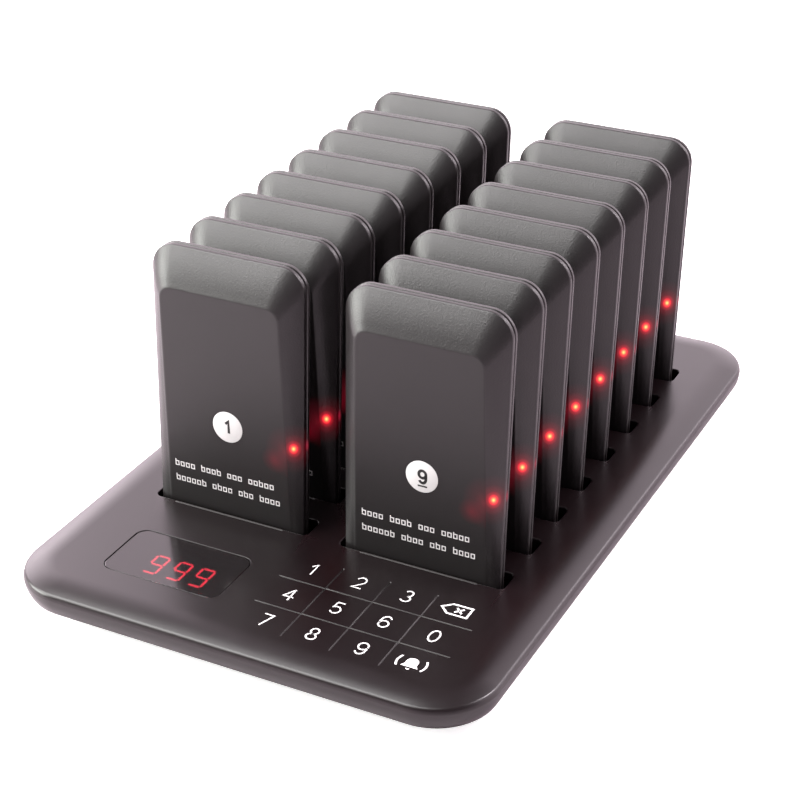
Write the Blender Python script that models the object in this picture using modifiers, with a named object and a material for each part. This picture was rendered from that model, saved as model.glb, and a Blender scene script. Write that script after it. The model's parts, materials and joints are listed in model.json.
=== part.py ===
"""Restaurant paging set: a charging base with a display and a touch keypad, and sixteen pagers.

The frame is in metres, with +X to the right, +Y to the back and +Z up.
The origin is on the table, under the middle of the base. Each pager is
modelled in its own frame, whose origin is the middle of its bottom edge.
"""

import math

import bmesh
import bpy
from mathutils import Matrix, Vector

MM = 0.001

# Driving dimensions of the base.
BASE_WIDTH = 208.4 * MM
BASE_DEPTH = 316.8 * MM
BASE_CORNER = 26.4 * MM
BASE_TOP = 20.0 * MM
RIM_WIDEST = 15.5 * MM
RIM_BOTTOM = 8.1 * MM
RIM_ROLL = 9.0 * MM
RIM_UNDERCUT = 2.2 * MM
SKIN = 2.2 * MM

# Driving dimensions of the rack of pagers.
ROWS = 8
COLUMN_SPACING = 87.9 * MM
ROW_PITCH = 26.8 * MM
FIRST_ROW_Y = -74.0 * MM
SLOT_WIDTH = 73.0 * MM
SLOT_DEPTH = 11.8 * MM
SLOT_OFFSET_Y = 0.2 * MM

# Driving dimensions of one pager, in its own frame.
PAGER_BOTTOM_Z = 8.0 * MM
PAGER_HEIGHT = 125.4 * MM
PAGER_HALF_TOP = 35.0 * MM
PAGER_HALF_BOTTOM = 34.25 * MM
PAGER_CORNER = 10.5 * MM
PAGER_FOOT_CORNER = 2.0 * MM
PAGER_LEAN = 0.077
BAND_FRONT_Y = -4.68 * MM
BAND_DEPTH = 4.3 * MM
BACK_DEPTH = 4.6 * MM
BACK_SLOPE = 6.0 * MM
BACK_LIFT = 2.0 * MM
PANEL_BOTTOM_Z = 1.0 * MM
PANEL_TOP_Z = 110.5 * MM
PANEL_HALF_TOP = 27.35 * MM
PANEL_HALF_BOTTOM = 29.35 * MM
PANEL_CORNER = 5.5 * MM
PANEL_FOOT_CORNER = 1.5 * MM
PANEL_BOTTOM_Y = -4.95 * MM
PANEL_LEAN = 0.0086
SHELL = 1.5 * MM

# Driving dimensions of the front controls.
WINDOW_CENTRE = (-43.9 * MM, -119.3 * MM)
WINDOW_SIZE = (54.4 * MM, 31.0 * MM)
WINDOW_CORNER = 5.5 * MM
WINDOW_LEAST_CORNER = 1.5 * MM
WINDOW_LEDGE = 4.0 * MM
WINDOW_RECESS = 1.4 * MM
WINDOW_EDGE = 0.2 * MM
KEY_ORIGIN = (17.9 * MM, -109.1 * MM)
KEY_PITCH = (20.85 * MM, 18.7 * MM)
LONG_GROOVES = 3
CROSS_GROOVES = 2
GROOVE_WIDTH = 0.5 * MM
GROOVE_DEPTH = 0.4 * MM
GROOVE_X = (-3.2 * MM, 81.2 * MM)
GROOVE_Y = (-143.6 * MM, -93.9 * MM)

# Layers inside the base, from the table up.
FOOT_HEIGHT = 2.2 * MM
COVER_BOTTOM = 2.5 * MM
COVER_WALL = 1.6 * MM
TUB_INSET = 16.5 * MM
TUB_DRAFT = 2.0 * MM
BOARD_BOTTOM = 4.7 * MM
BOARD_THICKNESS = 1.4 * MM
BOARD_TOP = BOARD_BOTTOM + BOARD_THICKNESS
WELL_BOTTOM = 6.4 * MM
WELL_WALL = 1.5 * MM
PIN_TOP = 7.7 * MM
PIN_RADIUS = 0.8 * MM
PIN_SPACING = 20.0 * MM
PIN_Y = -2.4 * MM
DISPLAY_TOP = 17.0 * MM
TOUCH_BOARD_Z = (15.8 * MM, 17.3 * MM)

# Boards and the display block, in plan: lowest corner, then highest corner.
MAIN_BOARD_PLAN = ((-74.0 * MM, -138.0 * MM), (74.0 * MM, -88.0 * MM))
TOUCH_BOARD_PLAN = ((-4.0 * MM, -145.0 * MM), (75.0 * MM, -92.0 * MM))
DISPLAY_PLAN = ((-62.9 * MM, -128.8 * MM), (-21.9 * MM, -111.3 * MM))
CHARGE_BOARD_HALF = 30.0 * MM
CHARGE_BOARD_ENDS = (9.0 * MM, 8.0 * MM)

# The aerial: a small spring that lies above the main board.
ANTENNA_PLACE = (-70.0 * MM, -93.0 * MM, 9.6 * MM)
ANTENNA_RADIUS = 2.2 * MM
ANTENNA_LENGTH = 20.0 * MM
ANTENNA_TURNS = 5
WIRE_RADIUS = 0.4 * MM

# Fasteners and feet of the base, and the clearance between neighbours.
GAP = 0.3 * MM
BOSS_PLACES = ((-80.0 * MM, -134.0 * MM), (80.0 * MM, -134.0 * MM),
               (-70.0 * MM, 131.0 * MM), (70.0 * MM, 131.0 * MM))
BOSS_RADIUS = 3.6 * MM
BOSS_BORE_TOP = 15.0 * MM
SCREW_RADIUS = 1.4 * MM
SCREW_HEAD_RADIUS = 2.8 * MM
SCREW_HEAD_BOTTOM = 0.8 * MM
SCREW_TIP = 13.5 * MM
FOOT_PLACES = ((-64.0 * MM, -120.0 * MM), (64.0 * MM, -120.0 * MM),
               (-52.0 * MM, 131.0 * MM), (52.0 * MM, 131.0 * MM))
FOOT_RADIUS = 6.0 * MM
FOOT_STEM = 2.0 * MM
STEM_CLEARANCE = 4.0 * MM

# Rear fittings: a round power jack and a rocker switch.
REAR_WALL = BASE_DEPTH / 2
REAR_PORT_Z = 13.0 * MM
REAR_BODY_Z = (10.2 * MM, 17.0 * MM)
REAR_HOLE_DEPTH = 8.0 * MM
JACK_X = 32.0 * MM
JACK_HALF = 4.6 * MM
JACK_LENGTH = 11.7 * MM
JACK_HOLE = 3.4 * MM
JACK_BORE = 2.2 * MM
SWITCH_X = -32.0 * MM
SWITCH_HALF = 8.0 * MM
SWITCH_LENGTH = 8.8 * MM
SWITCH_HOLE = (6.2 * MM, 2.7 * MM)
SWITCH_POCKET = (6.4 * MM, 2.3 * MM)
ROCKER_PIVOT_DEPTH = 4.4 * MM
ROCKER_HALF_HEIGHT = 1.9 * MM
SWITCH_THROW = math.radians(16)

# Inside the one pager that is modelled whole, in the pager's own frame.
FULL_PAGER = 9
CASE_SCREW_Z = 22.0 * MM
CASE_SCREW_HEAD_Y = 5.0 * MM
CASE_SCREW_CLEARANCE = 1.2 * MM
NOTCH_LOW = (-13.3 * MM, -3.4 * MM, -1.0 * MM)
NOTCH_HIGH = (13.3 * MM, -1.2 * MM, 2.5 * MM)
STRIP_LOW = (-12.9 * MM, -3.1 * MM, 0.3 * MM)
STRIP_HIGH = (12.9 * MM, -1.5 * MM, 6.0 * MM)
PAD_HALF = 2.4 * MM
PAD_Y = (-2.9 * MM, -1.8 * MM)
PAD_HEIGHT = 1.0 * MM
MOTOR_PLACE = Vector((-18.0 * MM, 4.6 * MM, 112.0 * MM))
MOTOR_RADIUS = 3.0 * MM
MOTOR_LENGTH = 12.0 * MM
SHAFT_RADIUS = 0.5 * MM
SHAFT_END = 16.5 * MM
WEIGHT_ALONG = 14.4 * MM
WEIGHT_RADIUS = 2.8 * MM
WEIGHT_HALF = 1.5 * MM
BUZZER_PLACE = (8.0 * MM, -0.1 * MM, 90.0 * MM)
BUZZER_RADIUS = 6.5 * MM
BUZZER_HEIGHT = 4.0 * MM
PAGER_BOARD = ((-26.0 * MM, -1.5 * MM, 30.0 * MM), (26.0 * MM, -0.4 * MM, 104.0 * MM))
BATTERY = ((-20.0 * MM, 0.0, 34.0 * MM), (20.0 * MM, 4.0 * MM, 76.0 * MM))
LAMP = ((26.4 * MM, -1.4 * MM, 48.5 * MM), (29.4 * MM, 0.8 * MM, 53.5 * MM))


# ---------------------------------------------------------------- scene

def clear_scene():
    for item in list(bpy.data.objects):
        bpy.data.objects.remove(item, do_unlink=True)


def new_collection(name):
    collection = bpy.data.collections.new(name)
    bpy.context.scene.collection.children.link(collection)
    return collection


def make_material(name, colour, roughness, metallic=0.0):
    material = bpy.data.materials.new(name)
    material.use_nodes = True
    shader = material.node_tree.nodes["Principled BSDF"]
    shader.inputs["Base Color"].default_value = (*colour, 1.0)
    shader.inputs["Roughness"].default_value = roughness
    shader.inputs["Metallic"].default_value = metallic
    return material


def mesh_object(name, bm, collection, material=None):
    """Puts a finished bmesh into the scene as a named object, smooth across shallow angles."""
    mesh = bpy.data.meshes.new(name)
    bm.to_mesh(mesh)
    bm.free()
    mesh.shade_smooth()
    mesh.set_sharp_from_angle(angle=math.radians(35))
    item = bpy.data.objects.new(name, mesh)
    collection.objects.link(item)
    if material:
        mesh.materials.append(material)
    return item


def make_cutter(name, bm):
    """A tool body: it shapes other pieces and isn't a piece itself."""
    item = mesh_object(name, bm, cutters)
    item.hide_render = True
    item.display_type = 'WIRE'
    return item


def boolean(target, tool, operation='DIFFERENCE'):
    modifier = target.modifiers.new(tool.name, 'BOOLEAN')
    modifier.operation = operation
    modifier.solver = 'EXACT'
    modifier.object = tool


def solidify(target, thickness):
    modifier = target.modifiers.new("wall", 'SOLIDIFY')
    modifier.thickness = thickness
    modifier.offset = -1.0
    modifier.use_even_offset = True


def bevel(target, width):
    modifier = target.modifiers.new("edges", 'BEVEL')
    modifier.width = width
    modifier.segments = 2
    modifier.limit_method = 'ANGLE'
    modifier.angle_limit = math.radians(40)


# ---------------------------------------------------------------- shapes

def arc(centre, radius, start, end, segments):
    """Points of an arc in a plane, both ends included, angles in degrees."""
    points = []
    for step in range(segments + 1):
        angle = math.radians(start + (end - start) * step / segments)
        points.append((centre[0] + radius * math.cos(angle), centre[1] + radius * math.sin(angle)))
    return points


def rounded_rectangle(half_x, half_y, radius, segments):
    """A rounded rectangle about the origin, counterclockwise."""
    in_x = half_x - radius
    in_y = half_y - radius
    points = arc((in_x, -in_y), radius, -90, 0, segments)
    points += arc((in_x, in_y), radius, 0, 90, segments)
    points += arc((-in_x, in_y), radius, 90, 180, segments)
    points += arc((-in_x, -in_y), radius, 180, 270, segments)
    return points


def loft(bm, rings, cap_first=False, cap_last=False):
    """Joins rings of equally many points. Counterclockwise rings that climb face outwards."""
    loops = [[bm.verts.new(point) for point in ring] for ring in rings]
    for near, far in zip(loops, loops[1:]):
        for i, vertex in enumerate(near):
            j = (i + 1) % len(near)
            bm.faces.new((vertex, near[j], far[j], far[i]))
    if cap_first:
        bm.faces.new(reversed(loops[0]))
    if cap_last:
        bm.faces.new(loops[-1])


def add_prism(bm, outline, bottom, top, place=(0.0, 0.0)):
    """An upright closed prism over a flat outline."""
    rings = []
    for z in (bottom, top):
        rings.append([(x + place[0], y + place[1], z) for x, y in outline])
    loft(bm, rings, cap_first=True, cap_last=True)


def add_box(bm, low, high):
    low = Vector(low)
    high = Vector(high)
    shape = Matrix.Translation((low + high) / 2) @ Matrix.Diagonal((*(high - low), 1.0))
    bmesh.ops.create_cube(bm, size=1.0, matrix=shape)


def add_cylinder(bm, base, axis, radius, length, segments=12):
    """A closed cylinder that starts at base and runs along axis."""
    axis = Vector(axis)
    middle = Vector(base) + axis * length / 2
    shape = Matrix.Translation(middle) @ axis.to_track_quat('Z', 'Y').to_matrix().to_4x4()
    bmesh.ops.create_cone(bm, cap_ends=True, segments=segments, radius1=radius, radius2=radius,
                          depth=length, matrix=shape)


def upright_cylinders(places, bottom, top, radius):
    """One closed upright cylinder at each place in plan."""
    bm = bmesh.new()
    for x, y in places:
        add_cylinder(bm, (x, y, bottom), (0, 0, 1), radius, top - bottom)
    return bm


def box_object(name, low, high, material, edge=0.0):
    bm = bmesh.new()
    add_box(bm, low, high)
    item = mesh_object(name, bm, parts, material)
    if edge:
        bevel(item, edge)
    return item


def plan_box_object(name, plan, layer, material, edge=0.0):
    """A box over a plan (lowest corner, highest corner), between the two heights of a layer."""
    return box_object(name, (*plan[0], layer[0]), (*plan[1], layer[1]), material, edge)


def turned_object(name, profile, place, material, steps=16):
    """A turned piece: the profile runs from the axis, down its outer side, back to the axis."""
    bm = bmesh.new()
    vertices = [bm.verts.new((x, 0.0, z)) for x, z in profile]
    for upper, lower in zip(vertices, vertices[1:]):
        bm.edges.new((upper, lower))
    item = mesh_object(name, bm, parts, material)
    item.location = place
    screw = item.modifiers.new("turn", 'SCREW')
    screw.steps = steps
    screw.render_steps = steps
    screw.use_merge_vertices = True
    screw.merge_threshold = 0.00001
    return item


# ---------------------------------------------------------------- rack layout

def pager_place(number):
    """World place of a pager's frame: 1 to 8 in the left column, 9 to 16 in the right."""
    column, row = divmod(number - 1, ROWS)
    x = (column - 0.5) * COLUMN_SPACING
    return Vector((x, FIRST_ROW_Y + row * ROW_PITCH, PAGER_BOTTOM_Z))


def slot_prisms(grow, bottom, top):
    """One rounded prism for each slot, grown outwards by a given amount."""
    bm = bmesh.new()
    half_end = MM
    half_depth = SLOT_DEPTH / 2 + grow
    outline = rounded_rectangle(SLOT_WIDTH / 2 + grow, half_depth, half_depth - half_end, 4)
    for number in range(1, 2 * ROWS + 1):
        place = pager_place(number)
        add_prism(bm, outline, bottom, top, (place.x, place.y + SLOT_OFFSET_Y))
    return bm


# ---------------------------------------------------------------- base covers

def base_ring(inset, z):
    outline = rounded_rectangle(BASE_WIDTH / 2 - inset, BASE_DEPTH / 2 - inset, BASE_CORNER - inset, 8)
    return [(x, y, z) for x, y in outline]


def rim_rings():
    """The side of the base: a wall that leans out as it climbs, then an elliptical roll to the top."""
    wall_steps = 3
    roll_steps = 5
    rings = []
    for step in range(wall_steps):
        share = step / wall_steps
        z = RIM_BOTTOM + (RIM_WIDEST - RIM_BOTTOM) * share
        rings.append(base_ring(RIM_UNDERCUT * (1 - share) ** 2, z))
    for step in range(roll_steps + 1):
        angle = math.radians(90 * step / roll_steps)
        inset = RIM_ROLL * (1 - math.cos(angle))
        rings.append(base_ring(inset, RIM_WIDEST + (BASE_TOP - RIM_WIDEST) * math.sin(angle)))
    return rings


def long_grooves():
    """The engraved lines between the touch keys that run front to back."""
    bm = bmesh.new()
    half = GROOVE_WIDTH / 2
    for index in range(LONG_GROOVES):
        x = KEY_ORIGIN[0] + index * KEY_PITCH[0]
        add_box(bm, (x - half, GROOVE_Y[0], BASE_TOP - GROOVE_DEPTH), (x + half, GROOVE_Y[1], BASE_TOP + MM))
    return bm


def cross_grooves():
    """The engraved lines between the touch keys that run across."""
    bm = bmesh.new()
    half = GROOVE_WIDTH / 2
    for index in range(CROSS_GROOVES):
        y = KEY_ORIGIN[1] - index * KEY_PITCH[1]
        add_box(bm, (GROOVE_X[0], y - half, BASE_TOP - GROOVE_DEPTH), (GROOVE_X[1], y + half, BASE_TOP + MM))
    return bm


def window_prism(margin, bottom, top):
    bm = bmesh.new()
    half_x = WINDOW_SIZE[0] / 2 - margin
    half_y = WINDOW_SIZE[1] / 2 - margin
    radius = max(WINDOW_CORNER - margin, WINDOW_LEAST_CORNER)
    add_prism(bm, rounded_rectangle(half_x, half_y, radius, 4), bottom, top, WINDOW_CENTRE)
    return bm


def rear_openings():
    """Holes through the rear wall for the power jack and the switch."""
    bm = bmesh.new()
    start = REAR_WALL - REAR_HOLE_DEPTH
    past = 4 * MM
    half_x, half_z = SWITCH_HOLE
    add_cylinder(bm, (JACK_X, start, REAR_PORT_Z), (0, 1, 0), JACK_HOLE, REAR_HOLE_DEPTH + past, 16)
    add_box(bm, (SWITCH_X - half_x, start, REAR_PORT_Z - half_z),
            (SWITCH_X + half_x, REAR_WALL + past, REAR_PORT_Z + half_z))
    return bm


def make_top_cover():
    bm = bmesh.new()
    loft(bm, rim_rings(), cap_last=True)
    cover = mesh_object("top_cover", bm, parts, plastic)
    solidify(cover, SKIN)
    above = BASE_TOP + MM
    in_roof = BASE_TOP - MM
    boss_bottom = COVER_BOTTOM + COVER_WALL + GAP
    pillars = upright_cylinders(BOSS_PLACES, boss_bottom, in_roof, BOSS_RADIUS)
    bores = upright_cylinders(BOSS_PLACES, 0.0, BOSS_BORE_TOP, SCREW_RADIUS + GAP)
    boolean(cover, make_cutter("well_walls", slot_prisms(WELL_WALL, WELL_BOTTOM, in_roof)), 'UNION')
    boolean(cover, make_cutter("boss_pillars", pillars), 'UNION')
    boolean(cover, make_cutter("slot_openings", slot_prisms(0.0, 0.0, above)))
    boolean(cover, make_cutter("boss_bores", bores))
    boolean(cover, make_cutter("window_recess", window_prism(0.0, BASE_TOP - WINDOW_RECESS, above)))
    boolean(cover, make_cutter("window_opening", window_prism(WINDOW_LEDGE, 0.0, above)))
    boolean(cover, make_cutter("long_grooves", long_grooves()))
    boolean(cover, make_cutter("cross_grooves", cross_grooves()))
    boolean(cover, make_cutter("rear_openings", rear_openings()))


def make_bottom_cover():
    """A flange that closes the rim, and a shallow tub that steps down to the feet."""
    flange = SKIN + RIM_UNDERCUT + GAP
    flange_z = RIM_BOTTOM + GAP
    drilled = 6 * MM
    bm = bmesh.new()
    rings = [base_ring(TUB_INSET, COVER_BOTTOM), base_ring(TUB_INSET - TUB_DRAFT, flange_z),
             base_ring(flange, flange_z)]
    loft(bm, rings, cap_first=True)
    cover = mesh_object("bottom_cover", bm, parts, plastic)
    solidify(cover, COVER_WALL)
    screw_holes = upright_cylinders(BOSS_PLACES, 0.0, drilled, SCREW_RADIUS + GAP)
    foot_holes = upright_cylinders(FOOT_PLACES, 0.0, drilled, FOOT_STEM + GAP)
    boolean(cover, make_cutter("screw_holes", screw_holes))
    boolean(cover, make_cutter("foot_holes", foot_holes))


# ---------------------------------------------------------------- base fittings

def make_display():
    """The smoked window in its recess, and the block of figures under it."""
    sliver = GAP / 3
    window = window_prism(GAP, BASE_TOP - WINDOW_RECESS + sliver, BASE_TOP - sliver)
    bevel(mesh_object("display_window", window, parts, lens_plastic), WINDOW_EDGE)
    plan_box_object("digit_display", DISPLAY_PLAN, (BOARD_TOP + GAP, DISPLAY_TOP), display_red, 0.6 * MM)


def make_boards():
    """The main board, holed where the front feet's stems come up, and the board under the touch keys."""
    main = plan_box_object("main_board", MAIN_BOARD_PLAN, (BOARD_BOTTOM, BOARD_TOP), board_green)
    holes = upright_cylinders(FOOT_PLACES[:2], 0.0, BOARD_TOP + MM, STEM_CLEARANCE)
    boolean(main, make_cutter("stem_clearance", holes))
    plan_box_object("touch_board", TOUCH_BOARD_PLAN, TOUCH_BOARD_Z, board_green)


def make_charge_board(name, first_number):
    """A long board under one column of slots, with two charging pins for each pager."""
    front = pager_place(first_number)
    back = pager_place(first_number + ROWS - 1)
    plan = ((front.x - CHARGE_BOARD_HALF, front.y - CHARGE_BOARD_ENDS[0]),
            (front.x + CHARGE_BOARD_HALF, back.y + CHARGE_BOARD_ENDS[1]))
    board = plan_box_object(name, plan, (BOARD_BOTTOM, BOARD_TOP), board_green)
    pins = bmesh.new()
    root = BOARD_BOTTOM + MM
    for number in range(first_number, first_number + ROWS):
        place = pager_place(number)
        for side in (-0.5, 0.5):
            foot = (place.x + side * PIN_SPACING, place.y + PIN_Y, root)
            add_cylinder(pins, foot, (0, 0, 1), PIN_RADIUS, PIN_TOP - root, 8)
    boolean(board, make_cutter(name + "_pins", pins), 'UNION')


def spring_curve():
    """The aerial's centre line along +X, as a curve with a round section and filled ends."""
    curve = bpy.data.curves.new("antenna_line", 'CURVE')
    curve.dimensions = '3D'
    curve.bevel_depth = WIRE_RADIUS
    curve.bevel_resolution = 1
    curve.use_fill_caps = True
    spline = curve.splines.new('POLY')
    points_per_turn = 8
    steps = ANTENNA_TURNS * points_per_turn
    spline.points.add(steps)
    for index, point in enumerate(spline.points):
        angle = 2 * math.pi * index / points_per_turn
        y = ANTENNA_RADIUS * math.cos(angle)
        z = ANTENNA_RADIUS * math.sin(angle)
        point.co = (ANTENNA_LENGTH * index / steps, y, z, 1.0)
    return curve


def make_antenna():
    """A sprung wire aerial lying along the back of the main board."""
    wire = bpy.data.objects.new("antenna_wire", spring_curve())
    parts.objects.link(wire)
    wire.location = ANTENNA_PLACE
    bpy.context.view_layer.update()
    mesh = bpy.data.meshes.new_from_object(wire.evaluated_get(bpy.context.evaluated_depsgraph_get()))
    bm = bmesh.new()
    bm.from_mesh(mesh)
    bmesh.ops.remove_doubles(bm, verts=bm.verts, dist=0.00001)
    place = wire.matrix_world.copy()
    bpy.data.objects.remove(wire, do_unlink=True)
    bpy.data.meshes.remove(mesh)
    coil = mesh_object("antenna_coil", bm, parts, bright_metal)
    coil.matrix_world = place


def make_power_jack():
    """A block behind the rear wall with a round socket in it."""
    face = REAR_WALL - RIM_UNDERCUT - SKIN - 0.8 * MM
    past = 6 * MM
    jack = box_object("power_jack", (JACK_X - JACK_HALF, face - JACK_LENGTH, REAR_BODY_Z[0]),
                      (JACK_X + JACK_HALF, face, REAR_BODY_Z[1]), black_plastic, 0.4 * MM)
    bore = bmesh.new()
    add_cylinder(bore, (JACK_X, face - 8.2 * MM, REAR_PORT_Z), (0, 1, 0), JACK_BORE, 8 * MM + past)
    boolean(jack, make_cutter("jack_bore", bore))


def rocker_outline():
    """Plan of the rocker about its pivot: a narrow tail inside, and a face dished in the middle."""
    tail = 1.6 * MM
    wing = 5.4 * MM
    return [(-tail, -3.2 * MM), (tail, -3.2 * MM), (wing, 1.6 * MM), (wing, 3.4 * MM),
            (0.0, 2.6 * MM), (-wing, 3.4 * MM), (-wing, 1.6 * MM)]


def make_switch():
    """A housing behind the rear wall, and a rocker that tips about an upright axis in it."""
    face = REAR_WALL - 5.2 * MM
    housing = box_object("switch_housing", (SWITCH_X - SWITCH_HALF, face - SWITCH_LENGTH, REAR_BODY_Z[0]),
                         (SWITCH_X + SWITCH_HALF, face, REAR_BODY_Z[1]), black_plastic, 0.4 * MM)
    half_x, half_z = SWITCH_POCKET
    pocket = bmesh.new()
    add_box(pocket, (SWITCH_X - half_x, REAR_WALL - 11 * MM, REAR_PORT_Z - half_z),
            (SWITCH_X + half_x, REAR_WALL, REAR_PORT_Z + half_z))
    boolean(housing, make_cutter("switch_pocket", pocket))

    bm = bmesh.new()
    add_prism(bm, rocker_outline(), -ROCKER_HALF_HEIGHT, ROCKER_HALF_HEIGHT)
    rocker = mesh_object("switch_rocker", bm, parts, black_plastic)
    rocker.location = (SWITCH_X, REAR_WALL - ROCKER_PIVOT_DEPTH, REAR_PORT_Z)
    rocker.rotation_euler = (0.0, 0.0, -SWITCH_THROW / 2)


def make_feet():
    """Round rubber feet whose stems are pushed through the bottom cover."""
    edge = 0.5 * MM
    stem_top = COVER_BOTTOM + COVER_WALL + MM
    profile = [(0, stem_top), (FOOT_STEM, stem_top), (FOOT_STEM, FOOT_HEIGHT), (FOOT_RADIUS, FOOT_HEIGHT),
               (FOOT_RADIUS, edge), (FOOT_RADIUS - edge, 0), (0, 0)]
    names = ("foot_front_left", "foot_front_right", "foot_rear_left", "foot_rear_right")
    for name, (x, y) in zip(names, FOOT_PLACES):
        turned_object(name, profile, (x, y, 0), rubber)


def make_cover_screws():
    """Self-tapping screws that draw the bottom cover up against the bosses."""
    head_top = COVER_BOTTOM - GAP
    shoulder = SCREW_HEAD_BOTTOM + 0.3 * MM
    profile = [(0, SCREW_TIP), (0.6 * MM, SCREW_TIP), (SCREW_RADIUS, SCREW_TIP - MM),
               (SCREW_RADIUS, head_top), (SCREW_HEAD_RADIUS, head_top), (SCREW_HEAD_RADIUS, shoulder),
               (SCREW_HEAD_RADIUS - 0.5 * MM, SCREW_HEAD_BOTTOM), (0, SCREW_HEAD_BOTTOM)]
    for index, (x, y) in enumerate(BOSS_PLACES, start=1):
        turned_object("cover_screw_%d" % index, profile, (x, y, 0), bright_metal, 12)


# ---------------------------------------------------------------- pager shells

def pager_outline(half_top, half_bottom, bottom, top, top_radius, bottom_radius):
    """Front view of a pager, counterclockwise: an upright panel with round upper corners."""
    points = arc((half_bottom - bottom_radius, bottom + bottom_radius), bottom_radius, -90, 0, 1)
    points += arc((half_top - top_radius, top - top_radius), top_radius, 0, 90, 4)
    points += arc((-half_top + top_radius, top - top_radius), top_radius, 90, 180, 4)
    points += arc((-half_bottom + bottom_radius, bottom + bottom_radius), bottom_radius, 180, 270, 1)
    return points


def body_ring(offset, inset=0.0, lift=0.0):
    """The pager's outline on a plane that leans with the seam, offset back from the front band."""
    outline = pager_outline(PAGER_HALF_TOP - inset, PAGER_HALF_BOTTOM - inset, lift, PAGER_HEIGHT - inset,
                            PAGER_CORNER - inset / 2, PAGER_FOOT_CORNER)
    return [(x, BAND_FRONT_Y + PAGER_LEAN * z + offset, z) for x, z in outline]


def panel_ring():
    outline = pager_outline(PANEL_HALF_TOP, PANEL_HALF_BOTTOM, PANEL_BOTTOM_Z, PANEL_TOP_Z,
                            PANEL_CORNER, PANEL_FOOT_CORNER)
    return [(x, PANEL_BOTTOM_Y + PANEL_LEAN * z, z) for x, z in outline]


def screw_line_tool(name, radius, start_y, end_y):
    """A cylinder on the case screw's line, between two depths of the pager."""
    bm = bmesh.new()
    add_cylinder(bm, (0, start_y, CASE_SCREW_Z), (0, 1, 0), radius, end_y - start_y, 8)
    return make_cutter(name, bm)


def notch_tool(name):
    """A box across the middle of the bottom edge, where the contact strip sits."""
    bm = bmesh.new()
    add_box(bm, NOTCH_LOW, NOTCH_HIGH)
    return make_cutter(name, bm)


def baked_mesh(item):
    """The finished mesh of an object with its modifiers, for pieces that repeat."""
    graph = bpy.context.evaluated_depsgraph_get()
    mesh = bpy.data.meshes.new_from_object(item.evaluated_get(graph))
    mesh.name = item.name
    bpy.data.objects.remove(item, do_unlink=True)
    return mesh


def front_shell_mesh():
    """The front half of a pager's case, with a boss behind its panel for the screw."""
    bm = bmesh.new()
    seam = BAND_DEPTH / 2 - GAP / 2
    loft(bm, [body_ring(seam), body_ring(0.0), panel_ring()], cap_last=True)
    shell = mesh_object("front_shell", bm, parts, plastic)
    solidify(shell, SHELL)
    boolean(shell, screw_line_tool("front_boss", 2.6 * MM, -4 * MM, 1.2 * MM), 'UNION')
    boolean(shell, screw_line_tool("front_bore", CASE_SCREW_CLEARANCE, -3 * MM, 4 * MM))
    boolean(shell, notch_tool("front_notch"))
    return baked_mesh(shell)


def back_shell_mesh():
    """The back half of a pager's case, with a well for the screw's head."""
    bm = bmesh.new()
    seam = BAND_DEPTH / 2 + GAP / 2
    back = body_ring(BAND_DEPTH + BACK_DEPTH, BACK_SLOPE, BACK_LIFT)
    loft(bm, [back, body_ring(BAND_DEPTH), body_ring(seam)], cap_first=True)
    shell = mesh_object("back_shell", bm, parts, plastic)
    solidify(shell, SHELL)
    past = 9 * MM
    boolean(shell, screw_line_tool("back_pad", 3.6 * MM, 1.6 * MM, 5.2 * MM), 'UNION')
    boolean(shell, screw_line_tool("back_head_bore", 2.4 * MM, 3.5 * MM, past))
    boolean(shell, screw_line_tool("back_shank_bore", CASE_SCREW_CLEARANCE, 0.0, past))
    boolean(shell, notch_tool("back_notch"))
    return baked_mesh(shell)


def make_pagers():
    """Sixteen pagers, each on an empty that stands in its slot."""
    front_mesh = front_shell_mesh()
    back_mesh = back_shell_mesh()
    carriers = {}
    for number in range(1, 2 * ROWS + 1):
        carrier = bpy.data.objects.new("pager_%02d" % number, None)
        carrier.location = pager_place(number)
        parts.objects.link(carrier)
        carriers[number] = carrier
        for side, mesh in (("front", front_mesh), ("back", back_mesh)):
            shell = bpy.data.objects.new("pager_%02d_%s_shell" % (number, side), mesh)
            parts.objects.link(shell)
            shell.parent = carrier
    return carriers


# ---------------------------------------------------------------- inside one pager

def make_vibration_motor(prefix):
    """A small motor lying along X."""
    profile = [(0, SHAFT_END), (SHAFT_RADIUS, SHAFT_END), (SHAFT_RADIUS, MOTOR_LENGTH),
               (MOTOR_RADIUS, MOTOR_LENGTH), (MOTOR_RADIUS, 0), (0, 0)]
    motor = turned_object(prefix + "vibration_motor", profile, MOTOR_PLACE, bright_metal, 12)
    motor.rotation_euler = (0, math.radians(90), 0)
    return motor


def make_motor_weight(prefix):
    """The lopsided weight that turns on the motor's shaft."""
    bm = bmesh.new()
    add_prism(bm, arc((0, 0), WEIGHT_RADIUS, -105, 105, 8), -WEIGHT_HALF, WEIGHT_HALF)
    weight = mesh_object(prefix + "motor_weight", bm, parts, bright_metal)
    weight.location = MOTOR_PLACE + Vector((WEIGHT_ALONG, 0, 0))
    weight.rotation_euler = (0, math.radians(90), 0)
    bore = bmesh.new()
    clearance = 0.1 * MM
    add_cylinder(bore, (0, 0, -2 * WEIGHT_HALF), (0, 0, 1), SHAFT_RADIUS + clearance, 4 * WEIGHT_HALF, 8)
    tool = make_cutter("weight_bore", bore)
    tool.parent = weight
    boolean(weight, tool)
    return weight


def make_contact_strip(prefix):
    """A block in the bottom edge with the two pads that meet the charging pins."""
    strip = box_object(prefix + "contact_strip", STRIP_LOW, STRIP_HIGH, black_plastic)
    bm = bmesh.new()
    for side in (-0.5, 0.5):
        x = side * PIN_SPACING
        add_box(bm, (x - PAD_HALF, PAD_Y[0], 0), (x + PAD_HALF, PAD_Y[1], PAD_HEIGHT))
    tool = make_cutter("contact_pads", bm)
    boolean(strip, tool, 'UNION')
    tool.parent = strip
    return strip


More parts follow.
